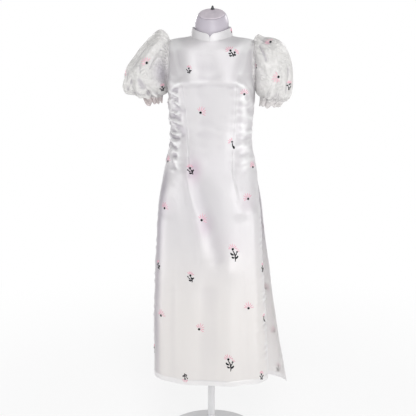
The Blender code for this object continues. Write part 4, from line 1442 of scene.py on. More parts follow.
@dataclass(frozen=True)
class Scrunch:
    """Curled gathers over a band of a sleeve: how many, how far out, where, and how far they roll down."""

    row: float
    wide: float
    count: int
    out: float
    roll: float
    phase: float

    def shape(self, turn: np.ndarray, row: float) -> tuple[np.ndarray, np.ndarray]:
        """Return how far each place of a ring moves out and down."""
        own = turn + 0.11 * np.sin(2 * turn + self.phase) + 0.06 * np.sin(5 * turn + 2 * self.phase)
        lobe = 0.5 + 0.5 * np.cos(self.count * own + self.phase)
        cover = np.exp(-((row - self.row - 0.35 * np.sin(3 * own + self.phase)) / self.wide) ** 2)
        size = 0.7 + 0.3 * np.sin(4 * own + 1.9 * self.phase)
        return self.out * cover * (lobe ** 0.6 - 0.45) * size, self.roll * cover * lobe * size


RIGHT_SCRUNCHES = rows(Scrunch, 0, (
    (7.2, 0.42, 8, 0.016, 0.012, 1.1), (8, 0.4, 11, 0.013, 0.009, 3.2), (8.3, 0.95, 8, 0.015, 0.019, 0.4),
    (9.6, 0.6, 11, 0.015, 0.01, 2.1), (12.3, 1.2, 6, 0.0105, 0.006, 3.3),
    (11.1, 0.8, 10, 0.0065, -0.003, 5),
))

LEFT_SCRUNCHES = rows(Scrunch, 0, (
    (8.6, 0.85, 6, 0.009, 0.009, 1.3), (9.9, 0.6, 9, 0.009, 0.006, 3), (12.3, 1.3, 5, 0.0115, 0.009, 4.4),
    (11.2, 0.9, 8, 0.006, -0.003, 0.2),
))


@dataclass(frozen=True)
class Dent:
    """A crease across a sleeve, from one (turn, row) to another; turns are degrees from the top forwards."""

    turn0: float
    row0: float
    turn1: float
    row1: float
    width: float
    height: float

    def lift(self, turn: np.ndarray, row: np.ndarray) -> np.ndarray:
        """Return how far the crease moves the cloth out; a row counts as about 17 degrees of turn."""
        scale = 17.0
        start = np.array([self.turn0, self.row0 * scale])
        way = np.array([self.turn1, self.row1 * scale]) - start
        length = float(np.linalg.norm(way))
        way = way / length
        from_turn = (turn - start[0] + 180.0) % 360.0 - 180.0
        from_row = row * scale - start[1]
        run = from_turn * way[0] + from_row * way[1]
        off = from_turn * way[1] - from_row * way[0]
        past = run - np.clip(run, 0.0, length)
        return self.height * np.exp(-(off ** 2 + past ** 2) / self.width ** 2)


RIGHT_DENTS = rows(Dent, 0, (
    (40, 0.6, 66, 4.5, 6, 0.005), (52, 0.4, 84, 3.6, 5, -0.0045), (66, 0.4, 98, 4.2, 6, 0.0045),
    (84, 0.3, 112, 3.2, 5, -0.004), (20, 1, 44, 5.2, 6, -0.0035), (8, 1.5, 20, 6, 7, 0.0035),
    (60, 5.4, 92, 7.4, 5.5, 0.004), (86, 6.2, 118, 8, 5, -0.004), (34, 6.4, 60, 8.2, 5, -0.004),
    (330, 0.8, 310, 5, 6, 0.004), (300, 0.6, 272, 4.4, 6, -0.0038), (276, 0.6, 250, 4.2, 6, 0.0042),
    (292, 5.6, 262, 7.8, 5.5, 0.0038), (244, 5, 228, 7, 5, -0.0035), (350, 4, 346, 8, 6, -0.0035),
))

LEFT_DENTS = rows(Dent, 0, (
    (10, 0.5, 30, 2.8, 6, -0.006), (28, 0.5, 52, 3, 5, 0.005), (44, 1.6, 74, 3, 5, -0.0055),
    (60, 0.4, 88, 3.4, 6, 0.004), (80, 0.4, 104, 4, 5, -0.0038), (52, 3.8, 80, 5.8, 6, 0.0035),
    (16, 4, 30, 7, 6, 0.0035), (70, 6.2, 100, 8, 5, 0.004), (92, 5.6, 120, 7.4, 5, -0.0035),
    (36, 6.2, 56, 8.4, 5, -0.004), (332, 0.8, 314, 4.8, 6, 0.004), (304, 0.6, 276, 4, 6, -0.0038),
    (280, 0.8, 254, 4.6, 6, 0.004), (290, 5.4, 264, 7.6, 5.5, 0.0036), (350, 4.4, 344, 7.8, 6, -0.0035),
))


@dataclass(frozen=True)
class Pleating:
    """A train of gathers round a sleeve: how many, how deep, how its spacing wanders, and at which rows."""

    count: int
    depth: float
    wander: float
    phase: float
    rows: tuple
    strengths: tuple

    def lift(self, turn: np.ndarray, row: np.ndarray) -> np.ndarray:
        """Return how far the gathers move the cloth out, with sharp ridges and soft troughs."""
        own = turn + self.wander * np.sin(3 * turn + self.phase) + 0.4 * self.wander * np.sin(7 * turn + 2.0)
        ridge = 1.0 - 2.0 * np.abs(np.sin(self.count * own / 2.0 + self.phase)) ** 0.85
        uneven = 1.0 + 0.35 * np.sin(5 * turn + self.phase) + 0.25 * np.cos(2 * turn + 1.3 * self.phase)
        return self.depth * ridge * uneven * np.interp(row, self.rows, self.strengths)


GATHERS = (
    Pleating(29, 0.0017, 0.30, 0.7, (0.0, 0.4, 1.6, 3.5, 6.5, 8.5, 9.6, 10.2, 11.0, 12.0),
             (0.7, 1.0, 0.6, 0.0, 0.0, 0.6, 0.8, 0.4, 0.4, 0.3)),
    Pleating(47, 0.0011, 0.12, 2.4, (0.0, 0.5, 1.4, 3.0, 7.0, 8.6, 9.6, 10.2, 11.0, 12.0),
             (0.8, 1.0, 0.4, 0.0, 0.0, 0.6, 1.0, 0.8, 0.3, 0.2)),
    Pleating(13, 0.0020, 0.34, 4.1, (0.0, 1.0, 2.2, 3.4, 7.0, 8.6, 9.6, 10.2, 11.0, 12.0),
             (0.2, 0.7, 0.4, 0.1, 0.2, 1.0, 0.5, 0.1, 0.5, 0.6)),
)


@dataclass
class PuffSleeve:
    """A gathered organza puff sleeve, from the armhole to the frill below its elastic."""

    side: Side
    rows: tuple
    dents: tuple
    scrunches: tuple
    # How strong the painted shade by the armhole is, and the frill's warm painted shade.
    shadow: float
    warmth: float
    columns: int = 320
    row_step: float = 0.14
    head_rows: int = 4
    waves: int = 14
    gather_uneven: float = 0.25
    gather_lumps: int = 3
    wave_share: float = 0.45
    gather_depth: float = 1.5
    dent_depth: float = 1.0
    scrunch_depth: float = 1.5
    inset_degrees: float = 0.4
    half_rise: float = 0.485
    lift_off: float = 0.0004
    thick: float = 0.0006
    frill_uneven: float = 0.0045
    flat: tuple[float, float] = (0.50, 0.29)
    area: float = 0.118
    hem_roll: float = 0.0009
    painted_shade_share: float = 0.62
    grid: Optional[np.ndarray] = None
    normals: Optional[np.ndarray] = None

    def armhole_edge(self, family: RingFamily, skirt_rows: int, from_back: bool) -> tuple:
        """Return how high along one edge of the armhole points lie, and the points just inside it."""
        low = skirt_rows + ARMPIT_RING
        high = skirt_rows + SHOULDER_TIP_RING
        levels = np.linspace(low, high, 41)
        angles = np.array([cut_at(family, "left_edge", float(level)) for level in levels])
        rise = (levels - low) / (high - low)
        angles = angles + self.inset_degrees * np.sin(math.pi * rise)
        if from_back:
            angles = 180.0 - angles
        angles = self.side.value * angles
        return rise, family.points(angles, levels) + family.normals(angles, levels) * self.lift_off

    def armhole(self, turn: np.ndarray) -> np.ndarray:
        """Return the sleeve's first ring, on the edge of the armhole."""
        rise = 0.5 + self.half_rise * np.cos(turn)
        ahead = follow(rise, *self.armhole_edge(front_family(), len(FRONT_SKIRT), False))
        behind = follow(rise, *self.armhole_edge(back_family(), len(BACK_SKIRT), True))
        return np.where(np.sin(turn)[:, None] >= 0, ahead, behind)

    def read(self, name: str, row: float) -> float:
        """Read one of the rows' sizes as a smooth curve."""
        return float(spline([getattr(each, name) for each in self.rows], np.array(row)))

    def ring(self, turn: np.ndarray, row: float) -> np.ndarray:
        """Return one ring of the sleeve with its gathers and creases."""
        top = np.array([self.read("top_x", row), 0.0, self.read("top_z", row)])
        under = np.array([self.read("under_x", row), 0.0, self.read("under_z", row)])
        middle = (top + under) / 2
        half = (top - under) / 2
        depth = np.where(np.sin(turn) > 0, self.read("front", row), self.read("back", row))
        spoke = half[None, :] * np.cos(turn)[:, None]
        spoke[:, 1] = -depth * np.sin(turn)
        length = np.linalg.norm(spoke, axis=1, keepdims=True)
        uneven = 1.0 - self.gather_uneven + self.gather_uneven * np.cos(self.gather_lumps * turn + 1.0)
        least = self.read("under_share", row)
        share = least + (1.0 - least) * 0.5 * (1.0 + np.cos(turn))
        wave = np.cos(self.waves * turn) * uneven * share * self.read("gather", row) * self.wave_share
        rows = np.full(turn.shape, row)
        fine = self.gather_depth * sum(train.lift(turn, rows) for train in GATHERS)
        degrees = np.degrees(turn)
        for dent in self.dents:
            fine = fine + self.dent_depth * dent.lift(degrees, rows)
        wave = wave + fine * share
        down = np.zeros(turn.shape)
        free = smooth_step(np.cos(turn), -0.97, -0.60)
        for scrunch in self.scrunches:
            out, fall = scrunch.shape(turn, row)
            wave = wave + self.scrunch_depth * out * free
            down = down + fall * free
        points = middle[None, :] + spoke * (1.0 + wave[:, None] / length)
        droop = self.frill_uneven * smooth_step(row, 10.2, 12.0)
        points[:, 2] += droop * (np.sin(5 * turn + 0.6) + 0.7 * np.sin(9 * turn + 2.0)) - down
        points[:, 0] *= self.side.value
        return points

    def lay(self) -> np.ndarray:
        """Return the sleeve's outer points, ring by ring."""
        turn = np.arange(self.columns) * 2 * math.pi / self.columns
        loop = self.armhole(turn)
        first = self.ring(turn, 0.0)
        rings = [loop + (first - loop) * step / self.head_rows for step in range(self.head_rows)]
        last = len(self.rows) - 1
        count = int(round(last / self.row_step))
        rings += [self.ring(turn, float(row)) for row in np.linspace(0.0, last, count + 1)]
        return np.array(rings)

    def build(self) -> None:
        outer = self.lay()
        normals = grid_normals(outer, True) * self.side.value
        name = "sleeve_" + self.side.word
        item = shell(name + "_cloth", outer, outer - normals * self.thick, True, ORGANZA)
        self.grid, self.normals = outer, normals
        self.tint(item, outer.shape[0])
        loop = np.concatenate([outer[-1], outer[-1][:1]])
        out = np.concatenate([normals[-1], normals[-1][:1]])
        hem = tube(name + "_rolled_hem", loop - out * self.thick / 2, self.hem_roll, 0.9, out, ORGANZA, 6)
        # The rolled hem takes the frill's warm painted shade.
        give_attribute(hem, "warmth", np.full(len(hem.data.vertices), self.warmth))
        fit(hem)
        fit(item, name)
        LOG.info("%s set, %d faces", name, len(item.data.polygons))

    def tint(self, item: bpy.types.Object, rings: int) -> None:
        """Store the painted shade by the armhole, along the elastic and in the creases, and the warmer, darker
        painted shade in the frill.
        """
        turn = np.arange(self.columns)[None, :] * 360.0 / self.columns
        last = len(self.rows) - 1
        row = np.concatenate([np.zeros(self.head_rows), np.linspace(0.0, last, rings - self.head_rows)])
        row = row[:, None]
        shade = self.shadow * np.exp(-((turn - 110.0) / 28.0) ** 2 - ((row - 1.6) / 2.1) ** 2)
        creased = self.shadow * 0.6 * np.exp(-((row - 9.9) / 0.5) ** 2) * np.ones_like(turn)
        deep = hollows(self.grid, self.normals, True, 10, 0.0012)
        shade = np.maximum(np.maximum(shade, creased), self.painted_shade_share * deep)
        warmth = self.warmth * smooth_step(row, 10.0, 11.2) * np.ones_like(turn)
        give_sides(item, "shade", shade)
        give_sides(item, "warmth", warmth)


# Seams


@dataclass
class Seams:
    """Fine rolls of cloth in the seams, which close the gaps between the pieces, and the hem stitches."""

    panels: list
    sleeves: list
    side_roll: float = 0.0010
    armhole_roll: float = 0.0014
    centre_roll: float = 0.0008
    neck_roll: float = 0.0011
    sink: float = 0.0003
    slit_top_level: float = 10.75
    stitch: float = 0.0026
    stitch_pitch: float = 0.0042
    stitch_radius: float = 0.00028

    def put(self, name: str, path: np.ndarray, up: np.ndarray, radius: float, flat: float = 0.8) -> None:
        """Roll a seam along a path."""
        fit(tube(name, path, radius, flat, up, SATIN))

    def build(self) -> None:
        """Make every seam's roll and the hem stitches."""
        front, back_left, back_right = self.panels
        tip = len(FRONT_SKIRT) + SHOULDER_TIP_RING
        armpit = len(FRONT_SKIRT) + ARMPIT_RING
        for side, back, at, other in ((Side.RIGHT, back_right, 0, -1), (Side.LEFT, back_left, -1, 0)):
            for word, low, high in (("side", self.slit_top_level, armpit + 0.3),
                                    ("shoulder", tip - 0.3, tip + 4.0)):
                ahead, way = self.edge(front, at, low, high)
                behind, back_way = self.edge(back, other, low, high)
                up = unit(way + back_way)
                self.put(f"{word}_seam_{side.word}", (ahead + behind) / 2 - up * self.sink, up, self.side_roll)
        centre, up = self.edge(back_left, -1, 0.0, 28.0)
        centre[:, 0] = 0.0
        self.put("centre_back_seam", centre - up * self.sink, up, self.centre_roll, 0.6)
        for sleeve in self.sleeves:
            loop = sleeve.grid[0]
            outward = unit(sleeve.grid[2] - loop)
            away = unit(loop - loop.mean(axis=0) - (loop - loop.mean(axis=0)) * np.array([1.0, 0.0, 0.0]))
            up = unit(outward + away)
            closed = np.concatenate([loop, loop[:1]])
            self.put("armhole_seam_" + sleeve.side.word, closed, np.concatenate([up, up[:1]]),
                     self.armhole_roll)
        self.neck()
        for panel in self.panels:
            self.stitches(panel)

    @staticmethod
    def edge(panel: Panel, column: int, low: float, high: float) -> tuple[np.ndarray, np.ndarray]:
        """Return evenly numbered points up a panel's edge between two ring numbers, and the ways out there."""
        levels = panel.laid.levels[:, column]
        wanted = np.linspace(low, high, max(int((high - low) * 9), 12))
        ways = follow(wanted, levels, panel.laid.normals[:, column])
        return follow(wanted, levels, panel.laid.outer[:, column]), unit(ways)

    def neck(self) -> None:
        """Roll the seam between the collar and the body."""
        family = StandCollar().family()
        turn = np.linspace(0.0, 360.0, 145)
        points = family.points(turn, np.zeros(145))
        points[:, 2] += SEAM_GAP / 2
        up = family.normals(turn, np.full(145, 0.02))
        self.put("neck_seam", points - up * self.sink, up, self.neck_roll, 0.7)

    def stitches(self, panel: Panel) -> None:
        """Sew small stitches along the top of a panel's turned hem."""
        laid = panel.laid
        height = laid.outer[:, laid.outer.shape[1] // 2, 2] - laid.outer[0, laid.outer.shape[1] // 2, 2]
        row = int(np.argmin(np.abs(height - panel.hem_height)))
        line = laid.outer[row]
        ways = laid.normals[row]
        run = run_along(line)
        points, faces = [], []
        for start in np.arange(0.004, run[-1] - 0.008, self.stitch_pitch):
            wanted = np.linspace(start, start + self.stitch, 4)
            up = unit(follow(wanted, run, ways))
            path = follow(wanted, run, line) + up * 0.0001
            faces += capped(4, 5, len(points) * 20)
            points.append(tube_points(path, self.stitch_radius, 0.8, 5, up).reshape(-1, 3))
        fit(add_mesh(panel.name + "_stitches", np.concatenate(points), faces, WHITE_THREAD))


# Embroidery


@dataclass(frozen=True)
class Stroke:
    """A raised line of thread: its ends, its greatest width, how far it bows, and its tip's share of width.

    Lengths are in the motif's own frame, u to the right and v up.
    """

    thread: Thread
    u0: float
    v0: float
    u1: float
    v1: float
    width: float
    bow: float = 0.0
    tip: float = 0.35
    height: float = 0.0007
    sections: int = 8

    def body(self) -> tuple[np.ndarray, list]:
        """Return the stroke's points as (u, v, height) and its faces."""
        way = np.array([self.u1 - self.u0, self.v1 - self.v0])
        length = float(np.linalg.norm(way))
        way = way / length
        side = np.array([-way[1], way[0]])
        points = []
        for share in np.linspace(0.0, 1.0, self.sections):
            middle = np.array([self.u0, self.v0]) + way * length * share
            middle = middle + side * self.bow * math.sin(math.pi * share)
            full = math.sin(math.pi * (0.14 + 0.72 * share)) ** 0.7
            bold = 2.1 if self.thread is Thread.DARK else 1.0
            half = self.width / 2 * bold * full * (1.0 + (self.tip - 0.35) * share)
            crown = self.height * (0.35 + 0.65 * full)
            for across, high in ((-1.0, -0.0003), (-0.75, crown * 0.7), (0.0, crown), (0.75, crown * 0.7),
                                 (1.0, -0.0003)):
                place = middle + side * half * across
                points.append((place[0], place[1], high))
        return np.array(points), capped(self.sections, 5)


@dataclass(frozen=True)
class Dot:
    """A round raised eye or bud of thread."""

    thread: Thread
    u: float
    v: float
    radius: float
    height: float = 0.0013

    def body(self) -> tuple[np.ndarray, list]:
        """Return the dot's points as (u, v, height) and its faces."""
        turn = np.arange(14) * 2 * math.pi / 14
        points = []
        for share, high in ((1.0, -0.0003), (1.0, 0.3 * self.height), (0.82, 0.75 * self.height),
                            (0.5, 0.96 * self.height), (0.2, self.height)):
            ring = np.stack([self.u + self.radius * share * np.cos(turn),
                             self.v + self.radius * share * np.sin(turn), np.full(14, high)], axis=-1)
            points.append(ring)
        return np.concatenate(points), capped(5, 14)


def fan(thread: Thread, u: float, v: float, middle: float, spread: float, count: int, start: float,
        length: float, width: float) -> list:
    """Return petals fanned round a point.

    Args:
        thread: The petals' thread.
        u: The point's place across.
        v: The point's place up.
        middle: The direction of the middle petal, in degrees from the right.
        spread: The angle from the first petal to the last one.
        count: How many petals there are.
        start: How far from the point each begins.
        length: How long the longest ones are.
        width: How wide they are.

    Returns:
        The petals as strokes.
    """
    petals = []
    for step in range(count):
        share = step / (count - 1) - 0.5
        turn = math.radians(middle + spread * share + 3.0 * math.sin(7.0 * step + u * 900.0))
        reach = length * (1.0 - 0.28 * abs(share) + 0.12 * math.sin(5.0 * step + v * 700.0))
        low, high = start, start + reach
        petals.append(Stroke(thread, u + low * math.cos(turn), v + low * math.sin(turn),
                             u + high * math.cos(turn), v + high * math.sin(turn), width,
                             0.0006 * math.sin(3.0 * step), 0.55))
    return petals


def eyes(*table: tuple) -> list:
    """Return dark dots from rows of place and radius in millimetres."""
    return [Dot(Thread.DARK, *(value / MILLIMETRES for value in row)) for row in table]


def stems(*table: tuple) -> list:
    """Return dark stems and leaves from rows in millimetres: both ends, width and bow."""
    return [Stroke(Thread.DARK, *(value / MILLIMETRES for value in row)) for row in table]


def flower(middle: float) -> list:
    """Return a dark eye with pink petals on one side only."""
    return eyes((0, 0, 4.3)) + fan(Thread.PINK, 0.0, 0.0, middle, 160.0, 7, 0.0062, 0.0152, 0.0021)


def sprig(middle: float) -> list:
    """Return a small sprig: an eye with a pink tuft, a bud, a stem and two leaves."""
    dark = eyes((0, 0, 3.4), (-8.2, -4.5, 2.1))
    dark += stems((0.5, -3.5, 5.8, -21.5, 2.0, 1.8), (-7.0, -6.2, 2.2, -12.0, 1.5, -1.2),
                  (3.0, -11.5, 11.2, -6.8, 3.0, -0.8), (4.0, -16.5, -4.8, -15.0, 2.8, 1.0))
    return dark + fan(Thread.PINK, 0.0, 0.0, middle, 120.0, 5, 0.0048, 0.0085, 0.0021)


def twin_sprig(middle: float) -> list:
    """Return a sprig with two eyes, each with its own petals."""
    dark = eyes((0, 0, 3.8), (14.0, -6.6, 3.4))
    dark += stems((0.5, -4.0, 9.2, -22.5, 2.2, 2.2), (13.2, -9.8, 7.8, -19.0, 1.8, 1.0),
                  (2.2, -11.5, -6.2, -9.8, 3.0, 1.0), (5.2, -18.0, -4.2, -18.5, 3.0, 1.2),
                  (9.8, -16.5, 18.0, -14.0, 3.0, -1.0))
    dark += fan(Thread.PINK, 0.0, 0.0, middle, 130.0, 6, 0.0058, 0.0118, 0.0022)
    return dark + fan(Thread.PINK, 0.0140, -0.0066, middle - 92.0, 100.0, 5, 0.0052, 0.0088, 0.0022)


def tall_sprig(middle: float) -> list:
    """Return a tall sprig: an eye with a pink fan, a side bud, a long stem and leaves."""
    dark = eyes((0, 0, 4.2), (14.8, -10.0, 3.0))
    dark.append(Stroke(Thread.DARK, 0.0, -0.0045, 0.0085, -0.0430, 0.0023, 0.0040, 0.35, 0.0008, 12))
    dark += stems((13.8, -12.8, 6.6, -25.0, 1.8, 1.4), (3.0, -20.5, -8.2, -12.5, 3.4, 1.4),
                  (5.8, -30.0, -4.2, -26.2, 3.2, 1.2), (7.5, -33.5, 18.8, -24.0, 3.4, -1.4))
    dark += fan(Thread.PINK, 0.0, 0.0, middle, 165.0, 7, 0.0062, 0.0122, 0.0022)
    return dark + fan(Thread.PINK, 0.0148, -0.0100, 50.0, 80.0, 3, 0.0044, 0.0060, 0.0018)


def bud(middle: float) -> list:
    """Return a bud: a pink tuft, a small eye and a leaf below."""
    dark = eyes((0, 0, 2.8)) + stems((0.2, -3.0, 1.6, -15.0, 1.6), (1.0, -12.0, 6.2, -20.5, 3.4, 1.0))
    return dark + fan(Thread.PINK, 0.0, 0.0, middle, 90.0, 4, 0.0044, 0.0092, 0.0022)


FLOWER, SPRIG, TWIN_SPRIG, TALL_SPRIG, BUD = Motif
SHAPES = {FLOWER: flower, SPRIG: sprig, TWIN_SPRIG: twin_sprig, TALL_SPRIG: tall_sprig, BUD: bud}


@dataclass(frozen=True)
class Placed:
    """A motif in its place: the two coordinates across its look, the way of its petals and its own turn."""

    look: Look
    motif: Motif
    across: float
    z: float
    petals: float = 90.0
    turn: float = 0.0
    size: float = 1.0


def placed(look: Look, table: Sequence[tuple]) -> tuple:
    """Place the motifs of one look.

    Args:
        look: The look.
        table: Rows of motif, across and height in millimetres, then petals, turn and size where they differ.

    Returns:
        The motifs in their places.
    """
    return tuple(Placed(look, motif, across / MILLIMETRES, z / MILLIMETRES, *rest)
                 for motif, across, z, *rest in table)


FRONT_MOTIFS = placed(Look.FRONT, (
    (SPRIG, -64, 1315, 70, 0, 0.85), (TWIN_SPRIG, 69, 1372, 125), (FLOWER, -27, 1171, 48),
    (FLOWER, 116, 1232, 92, 0, 0.92), (BUD, 76, 1074, 145, 0, 1.15), (SPRIG, -62, 987, 80, 12, 1.05),
    (FLOWER, 131, 883, 118), (FLOWER, -153, 844, 78, 0, 0.95), (FLOWER, -22, 814, 52),
    (TALL_SPRIG, 83, 716, 92), (SPRIG, -60, 622, 78, 0, 1.1), (SPRIG, 179, 639, 60, -8),
    (SPRIG, -177, 649, 110, 6), (FLOWER, -167, 467, 84), (FLOWER, 137, 506), (FLOWER, -30, 434, 48),
    (TALL_SPRIG, 71, 330, 96), (SPRIG, -79, 252, 100, 168, 0.95), (SPRIG, 183, 262, 70),
    (BUD, 187, 462, 90, 10),
))
FRONT_MOTIFS += placed(Look.FROM_RIGHT, (
    (FLOWER, -44, 1000, 100, 0, 0.95), (BUD, -40, 330, 80, 20),
))
FRONT_MOTIFS += placed(Look.FROM_LEFT, (
    (FLOWER, -46, 985, 90, 0, 0.95),
))

BACK_LEFT_MOTIFS = placed(Look.BACK, (
    (FLOWER, 52, 1335, 60), (SPRIG, 106, 1250), (TALL_SPRIG, 34, 1190), (FLOWER, 92, 1085, 120),
    (BUD, 38, 1010, 70, 0, 1.1), (SPRIG, 124, 935), (FLOWER, 62, 860, 40), (TALL_SPRIG, 140, 755, 95),
    (SPRIG, 50, 690), (FLOWER, 116, 590, 80), (FLOWER, 190, 530, 130), (TALL_SPRIG, 52, 500),
    (SPRIG, 142, 420), (FLOWER, 222, 372, 60), (FLOWER, 66, 330, 50), (TALL_SPRIG, 152, 290),
    (SPRIG, 240, 240), (BUD, 44, 232, 110),
))
BACK_LEFT_MOTIFS += placed(Look.FROM_LEFT, (
    (FLOWER, 30, 760, 95, 0, 0.9),
))

BACK_RIGHT_MOTIFS = placed(Look.BACK, (
    (SPRIG, -46, 1372), (FLOWER, -100, 1300, 110), (BUD, -40, 1255, 60, 0, 1.1), (SPRIG, -92, 1170),
    (FLOWER, -40, 1095, 50), (TALL_SPRIG, -108, 1020), (SPRIG, -46, 925), (FLOWER, -130, 860, 120),
    (TALL_SPRIG, -62, 780), (SPRIG, -146, 690), (FLOWER, -60, 610, 45), (FLOWER, -142, 520, 110),
    (TALL_SPRIG, -66, 430), (SPRIG, -156, 360), (FLOWER, -74, 270, 70), (BUD, -164, 240),
))
BACK_RIGHT_MOTIFS += placed(Look.FROM_RIGHT, (
    (FLOWER, 34, 680, 80, 0, 0.9), (SPRIG, 30, 480, 90, 0, 0.9),
))

RIGHT_SLEEVE_MOTIFS = placed(Look.FRONT, (
    (FLOWER, -206, 1331, 135), (SPRIG, -160, 1252, 60, 25),
))
RIGHT_SLEEVE_MOTIFS += placed(Look.FROM_RIGHT, (
    (FLOWER, -20, 1290, 80), (SPRIG, 36, 1352),
))
RIGHT_SLEEVE_MOTIFS += placed(Look.BACK, (
    (FLOWER, -200, 1350, 60), (SPRIG, -232, 1272), (BUD, -168, 1272, 110),
))

LEFT_SLEEVE_MOTIFS = placed(Look.FRONT, (
    (FLOWER, 197, 1399, 165, 0, 0.95), (FLOWER, 226, 1288, 205), (BUD, 153, 1326, 200, 0, 0.6),
))
LEFT_SLEEVE_MOTIFS += placed(Look.FROM_LEFT, (
    (FLOWER, 24, 1325, 100), (SPRIG, -34, 1262),
))
LEFT_SLEEVE_MOTIFS += placed(Look.BACK, (
    (FLOWER, 204, 1352, 120), (SPRIG, 166, 1282), (FLOWER, 236, 1262, 60),
))


COLLAR_MOTIFS = placed(Look.FROM_LEFT, (
    (FLOWER, -12, 1430.5, 60, 0, 0.62),
))


class Embroidery:
    """The motifs sewn on one piece of cloth."""

    def __init__(self, name: str, grid: np.ndarray, closed: bool, table: Sequence[Placed]) -> None:
        """Keep the cloth's surface to lay motifs on.

        Args:
            name: The cloth's name.
            grid: Its outer points, rows by columns.
            closed: Whether its last column joins the first one.
            table: The motifs with their places.
        """
        self.name = name
        self.table = table
        rows, columns = grid.shape[:2]
        self.surface = BVHTree.FromPolygons(grid.reshape(-1, 3).tolist(), quads(rows, columns, closed))
        self.bodies: dict = {Thread.PINK: [], Thread.DARK: []}

    def anchor(self, one: Placed) -> Optional[tuple[Vector, Vector]]:
        """Find where a motif's ray meets the cloth, with the way out there, or nothing where it misses."""
        ray = Vector(one.look.value)
        if one.look in (Look.FRONT, Look.BACK):
            start = Vector((one.across, 0.0, one.z)) - ray
        else:
            start = Vector((0.0, one.across, one.z)) - ray
        place, out, _, _ = self.surface.ray_cast(start, ray)
        if place is None:
            return None
        return place, -out if out.dot(ray) > 0 else out

    def lay(self, one: Placed) -> None:
        """Lay one motif on the cloth."""
        found = self.anchor(one)
        if found is None:
            LOG.info("%s: a motif at %.3f, %.3f misses the cloth", self.name, one.across, one.z)
            return
        place, out = found
        up = Vector((0.0, 0.0, 1.0))
        up = (up - out * up.dot(out)).normalized()
        right = up.cross(out)
        turn = math.radians(one.turn)
        for part in SHAPES[one.motif](one.petals):
            local, faces = part.body()
            points = []
            for u, v, high in local:
                across = (u * math.cos(turn) - v * math.sin(turn)) * one.size
                rise = (u * math.sin(turn) + v * math.cos(turn)) * one.size
                points.append(self.on_cloth(place + right * across + up * rise, out, float(high)))
            self.bodies[part.thread].append((np.array(points), faces))

    def on_cloth(self, place: Vector, out: Vector, high: float) -> tuple:
        """Drop a point on the cloth, then raise it by a height."""
        hit, way, _, _ = self.surface.ray_cast(place + out * 0.02, -out, 0.045)
        if hit is None:
            hit, way, _, _ = self.surface.find_nearest(place)
        if way.dot(out) < 0:
            way = -way
        return tuple(hit + way * high)

    def build(self) -> None:
        """Make one piece for each thread."""
        for one in self.table:
            self.lay(one)
        for thread, finish in ((Thread.PINK, PINK), (Thread.DARK, DARK)):
            faces = []
            count = 0
            for local, part_faces in self.bodies[thread]:
                faces += [tuple(count + corner for corner in face) for face in part_faces]
                count += len(local)
            points = np.concatenate([local for local, _ in self.bodies[thread]])
            item = add_mesh(f"{self.name}_{thread.value}_motifs", points, faces, finish)
            fit(item)


# Dress form and stand


@dataclass(frozen=True)
class FormRow:
    """A level ring of the dress form below the arms."""

    z: float
    reach: float
    front: float
    back: float
    square: float


@dataclass(frozen=True)
class NeckRow:
    """A slanted ring of the form's neck."""

    z: float
    reach: float
    depth: float
    slope: float


FORM_ROWS = rows(FormRow, 4, (
    (700, 152, 88, 96, 2.2), (706, 155, 91, 99, 2.2), (760, 161, 97, 108, 2.2),
    (820, 163.5, 101, 113, 2.3), (870, 162, 102, 113, 2.3), (920, 156, 100, 108, 2.3),
    (965, 149, 97, 100, 2.3), (1005, 142.5, 92, 91, 2.2), (1050, 133.5, 85, 80, 2.2),
    (1103, 131, 81, 73, 2.2), (1150, 136.5, 87, 78, 2.3), (1195, 142, 97, 86, 2.4),
))

NECK_ROWS = rows(NeckRow, 3, (
    (1424, 60, 52.5, 0.1), (1438, 57, 51, 0.25), (1460, 56.2, 50.5, 0.45), (1472, 53.5, 48.5, 0.45),
    (1482, 49.5, 45, 0.45), (1487.5, 45.2, 41.3, 0.45),
))


def slanted_ring(z: float, reach: float, depth: float, slope: float, columns: int) -> np.ndarray:
    """Return an elliptical ring whose height rises towards the back."""
    turn = np.arange(columns) * 2 * math.pi / columns
    x = reach * np.sin(turn)
    y = -depth * np.cos(turn)
    return np.stack([x, y, z + slope * y], axis=-1)


